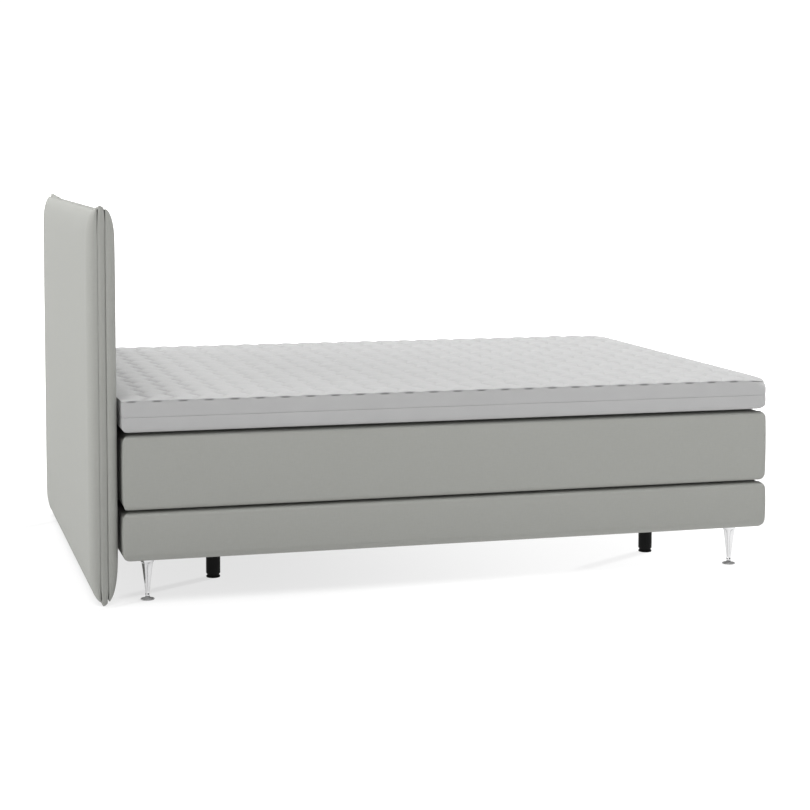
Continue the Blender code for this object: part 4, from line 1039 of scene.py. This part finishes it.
def build_dust_cloth():
    """The cloth under the base: a thin sheet stapled all round, which hangs a little lower
    towards its middle by the square of a cosine each way, with slow waves of a hair."""
    low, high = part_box("base_dust_cloth")
    half_x, half_y = high.x, (high.y - low.y) / 2
    across, along = np.meshgrid(np.linspace(-1, 1, 71), np.linspace(-1, 1, 97))
    x, y = across * half_x, along * half_y
    middle = np.cos(np.pi / 2 * across) ** 2 * np.cos(np.pi / 2 * along) ** 2
    waves = np.sin(23.0 * x + 2.0 * np.sin(5.0 * y)) * np.sin(17.0 * y + 1.0)
    fall = middle * (CLOTH_FALL + CLOTH_RIPPLE * waves)
    lower = np.stack([x, y + BED_Y, low.z - fall], -1).reshape(-1, 3)
    upper = np.stack([x, y + BED_Y, low.z + CLOTH_THICKNESS - fall], -1).reshape(-1, 3)
    quads, rim = grid_faces(*x.shape)
    near, far = rim, rim + len(lower)
    side = np.stack([near, np.roll(near, -1), np.roll(far, -1), far], -1)
    faces = np.concatenate([quads[:, ::-1], quads + len(lower), side])
    points = np.concatenate([lower, upper])
    uvs = points[faces.reshape(-1)][:, :2]
    piece = make_piece("base_under_cloth", points, faces.tolist(), uvs, finish_of("dust_cloth"))
    dress(piece, "base", "base_dust_cloth")


# Pieces that keep their solid's shape

def finish_solids():
    """A finish for every solid that shows as it is."""
    table = {
        "base_side_rail": "pine_y", "base_head_rail": "pine_x", "base_foot_rail": "pine_x",
        "base_beam": "pine_y", "base_slat": "pine_x", "leg_block": "pine_y",
        "headboard_board": "plywood", "headboard_glide": "black", "headboard_bracket": "steel",
        "bracket_screw": "steel", "headboard_bolt": "steel",
    }
    for node, solid in frame["nodes"].items():
        if solid.hide_render:
            continue
        found = next(finish for start, finish in table.items() if node.startswith(start))
        solid.data.materials.clear()
        solid.data.materials.append(finish_of(found))


# Room, light and camera

SKY_LOW = 1.08
SKY_DIM = 0.05


def build_room():
    """A wide pale floor that glows with painted light: less towards the headboard, which
    paints the bed's shadow there, and more beside the bed."""
    finish = Finish("pale_floor", (0.21, 0.21, 0.21), 0.9)
    cloud = finish.noise(finish.place(), 0.6, 2.0)
    finish.tint(cloud, (0.20, 0.20, 0.20), 1.0, 1.1)
    x, y, _ = finish.parts(finish.place())
    # Painted light: the floor glows, dimmer towards the headboard as a painted shadow of the bed
    glow = 0.87 - (y + 0.7).step(0.0, 1.3) * 0.20 + abs(x).step(0.95, 2.0) * 0.55
    level = finish.add("CombineXYZ", inputs={0: glow, 1: glow, 2: glow})
    finish.set(Emission_Color=level, Emission_Strength=1.0, Specular_IOR_Level=0.0)
    size = 60.0
    corners = [(-size, -size, 0), (size, -size, 0), (size, size, 0), (-size, size, 0)]
    floor = make_piece("floor", corners, [[0, 1, 2, 3]], None, finish.material, closed=False)
    return floor


def add_sun(name, towards, strength, soft_degrees):
    """A distant light that shines from a direction, given as a vector towards it."""
    lamp = bpy.data.lights.new(name, "SUN")
    lamp.energy = strength
    lamp.angle = math.radians(soft_degrees)
    holder = bpy.data.objects.new(name, lamp)
    bpy.context.scene.collection.objects.link(holder)
    holder.rotation_euler = Vector(towards).to_track_quat("Z", "Y").to_euler()
    return holder


def build_light(floor):
    """A pale world that is dim higher up at both ends of the bed, and broad suns."""
    world = bpy.data.worlds.new("studio")
    bpy.context.scene.world = world
    world.use_nodes = True
    sky = Nodes(world.node_tree)
    _, y, z = sky.parts(sky.place("Generated"))
    dim = abs(y).step(0.0, 0.35) * z.step(0.12, 0.34)
    background = sky.tree.nodes["Background"]
    sky.fill(background.inputs["Color"], (1.0, 1.0, 1.0, 1.0))
    sky.fill(background.inputs["Strength"], SKY_LOW - dim * (SKY_LOW - SKY_DIM))
    add_sun("key", (0.55, -0.83, 0.30), 0.4, 20)
    # Two lights for the floor alone; the second one draws the legs' faint shadows
    only_floor = bpy.data.collections.new("floor_only")
    only_floor.objects.link(floor)
    only_legs = bpy.data.collections.new("legs_only")
    for piece in bpy.data.objects:
        if piece.name.startswith(("black_leg", "black_foot", "leg_glide", "chrome_leg")):
            only_legs.objects.link(piece)
    floor_key = add_sun("floor_key", (0.54, -0.84, 0.29), 3.2, 24)
    leg_key = add_sun("leg_key", (0.54, -0.84, 0.38), 3.2, 4)
    for lamp in (floor_key, leg_key):
        lamp.light_linking.receiver_collection = only_floor
    leg_key.light_linking.blocker_collection = only_legs
    add_sun("top", (0.0, 0.0, 1.0), 4.65, 70)
    add_sun("back", (0.5, 0.866, 0.06), 2.3, 40)
    add_sun("left_back", (-0.25, 0.95, 0.1), 1.15, 55)
    bpy.context.scene.view_settings.view_transform = "Standard"


def build_camera():
    """The photograph's point of view: from the left, above the headboard. The shift keeps
    uprights nearly upright and leaves the whole bed in the frame of the other views."""
    data = bpy.data.cameras.new("camera")
    data.sensor_width = 36.0
    focal_pixels, image_pixels = 1913.69, 810
    data.lens = data.sensor_width * focal_pixels / image_pixels
    data.shift_y = -0.135
    data.clip_end = 200
    camera = bpy.data.objects.new("camera", data)
    bpy.context.scene.collection.objects.link(camera)
    camera.location = (-6.0796, 1.6232, 1.3004)
    yaw, pitch, roll = (math.radians(angle) for angle in (15.6089, 4.4637, 0.1020))
    ahead = math.cos(pitch)
    aim = Vector((math.cos(yaw) * ahead, -math.sin(yaw) * ahead, -math.sin(pitch)))
    level = aim.to_track_quat("-Z", "Y").to_matrix()
    camera.rotation_euler = (level @ Euler((0, 0, roll)).to_matrix()).to_euler()
    bpy.context.scene.camera = camera


build_cover("base_upholstery", "base_cover", "base", BASE_LOW, BASE_HIGH, BASE_SIDE_EDGES, BASE_SAG)
build_cover("mattress_upholstery", "mattress_cover", "mattress", MATTRESS_LOW, MATTRESS_HIGH,
            MATTRESS_SIDE_EDGES, MATTRESS_SAG, MATTRESS_INSET, MATTRESS_DROOP)
for build_part in (build_lower_border, build_upper_border, build_zip):
    build_part(plan_samples(14, (CHANNELS * 8, 44)))
build_quilt()
build_headboard()
for place_label in ("head_left", "head_right", "foot_left", "foot_right"):
    build_corner_leg(place_label)
    build_support_leg(place_label)
build_inner_pieces()
build_dust_cloth()
finish_solids()
build_light(build_room())
build_camera()
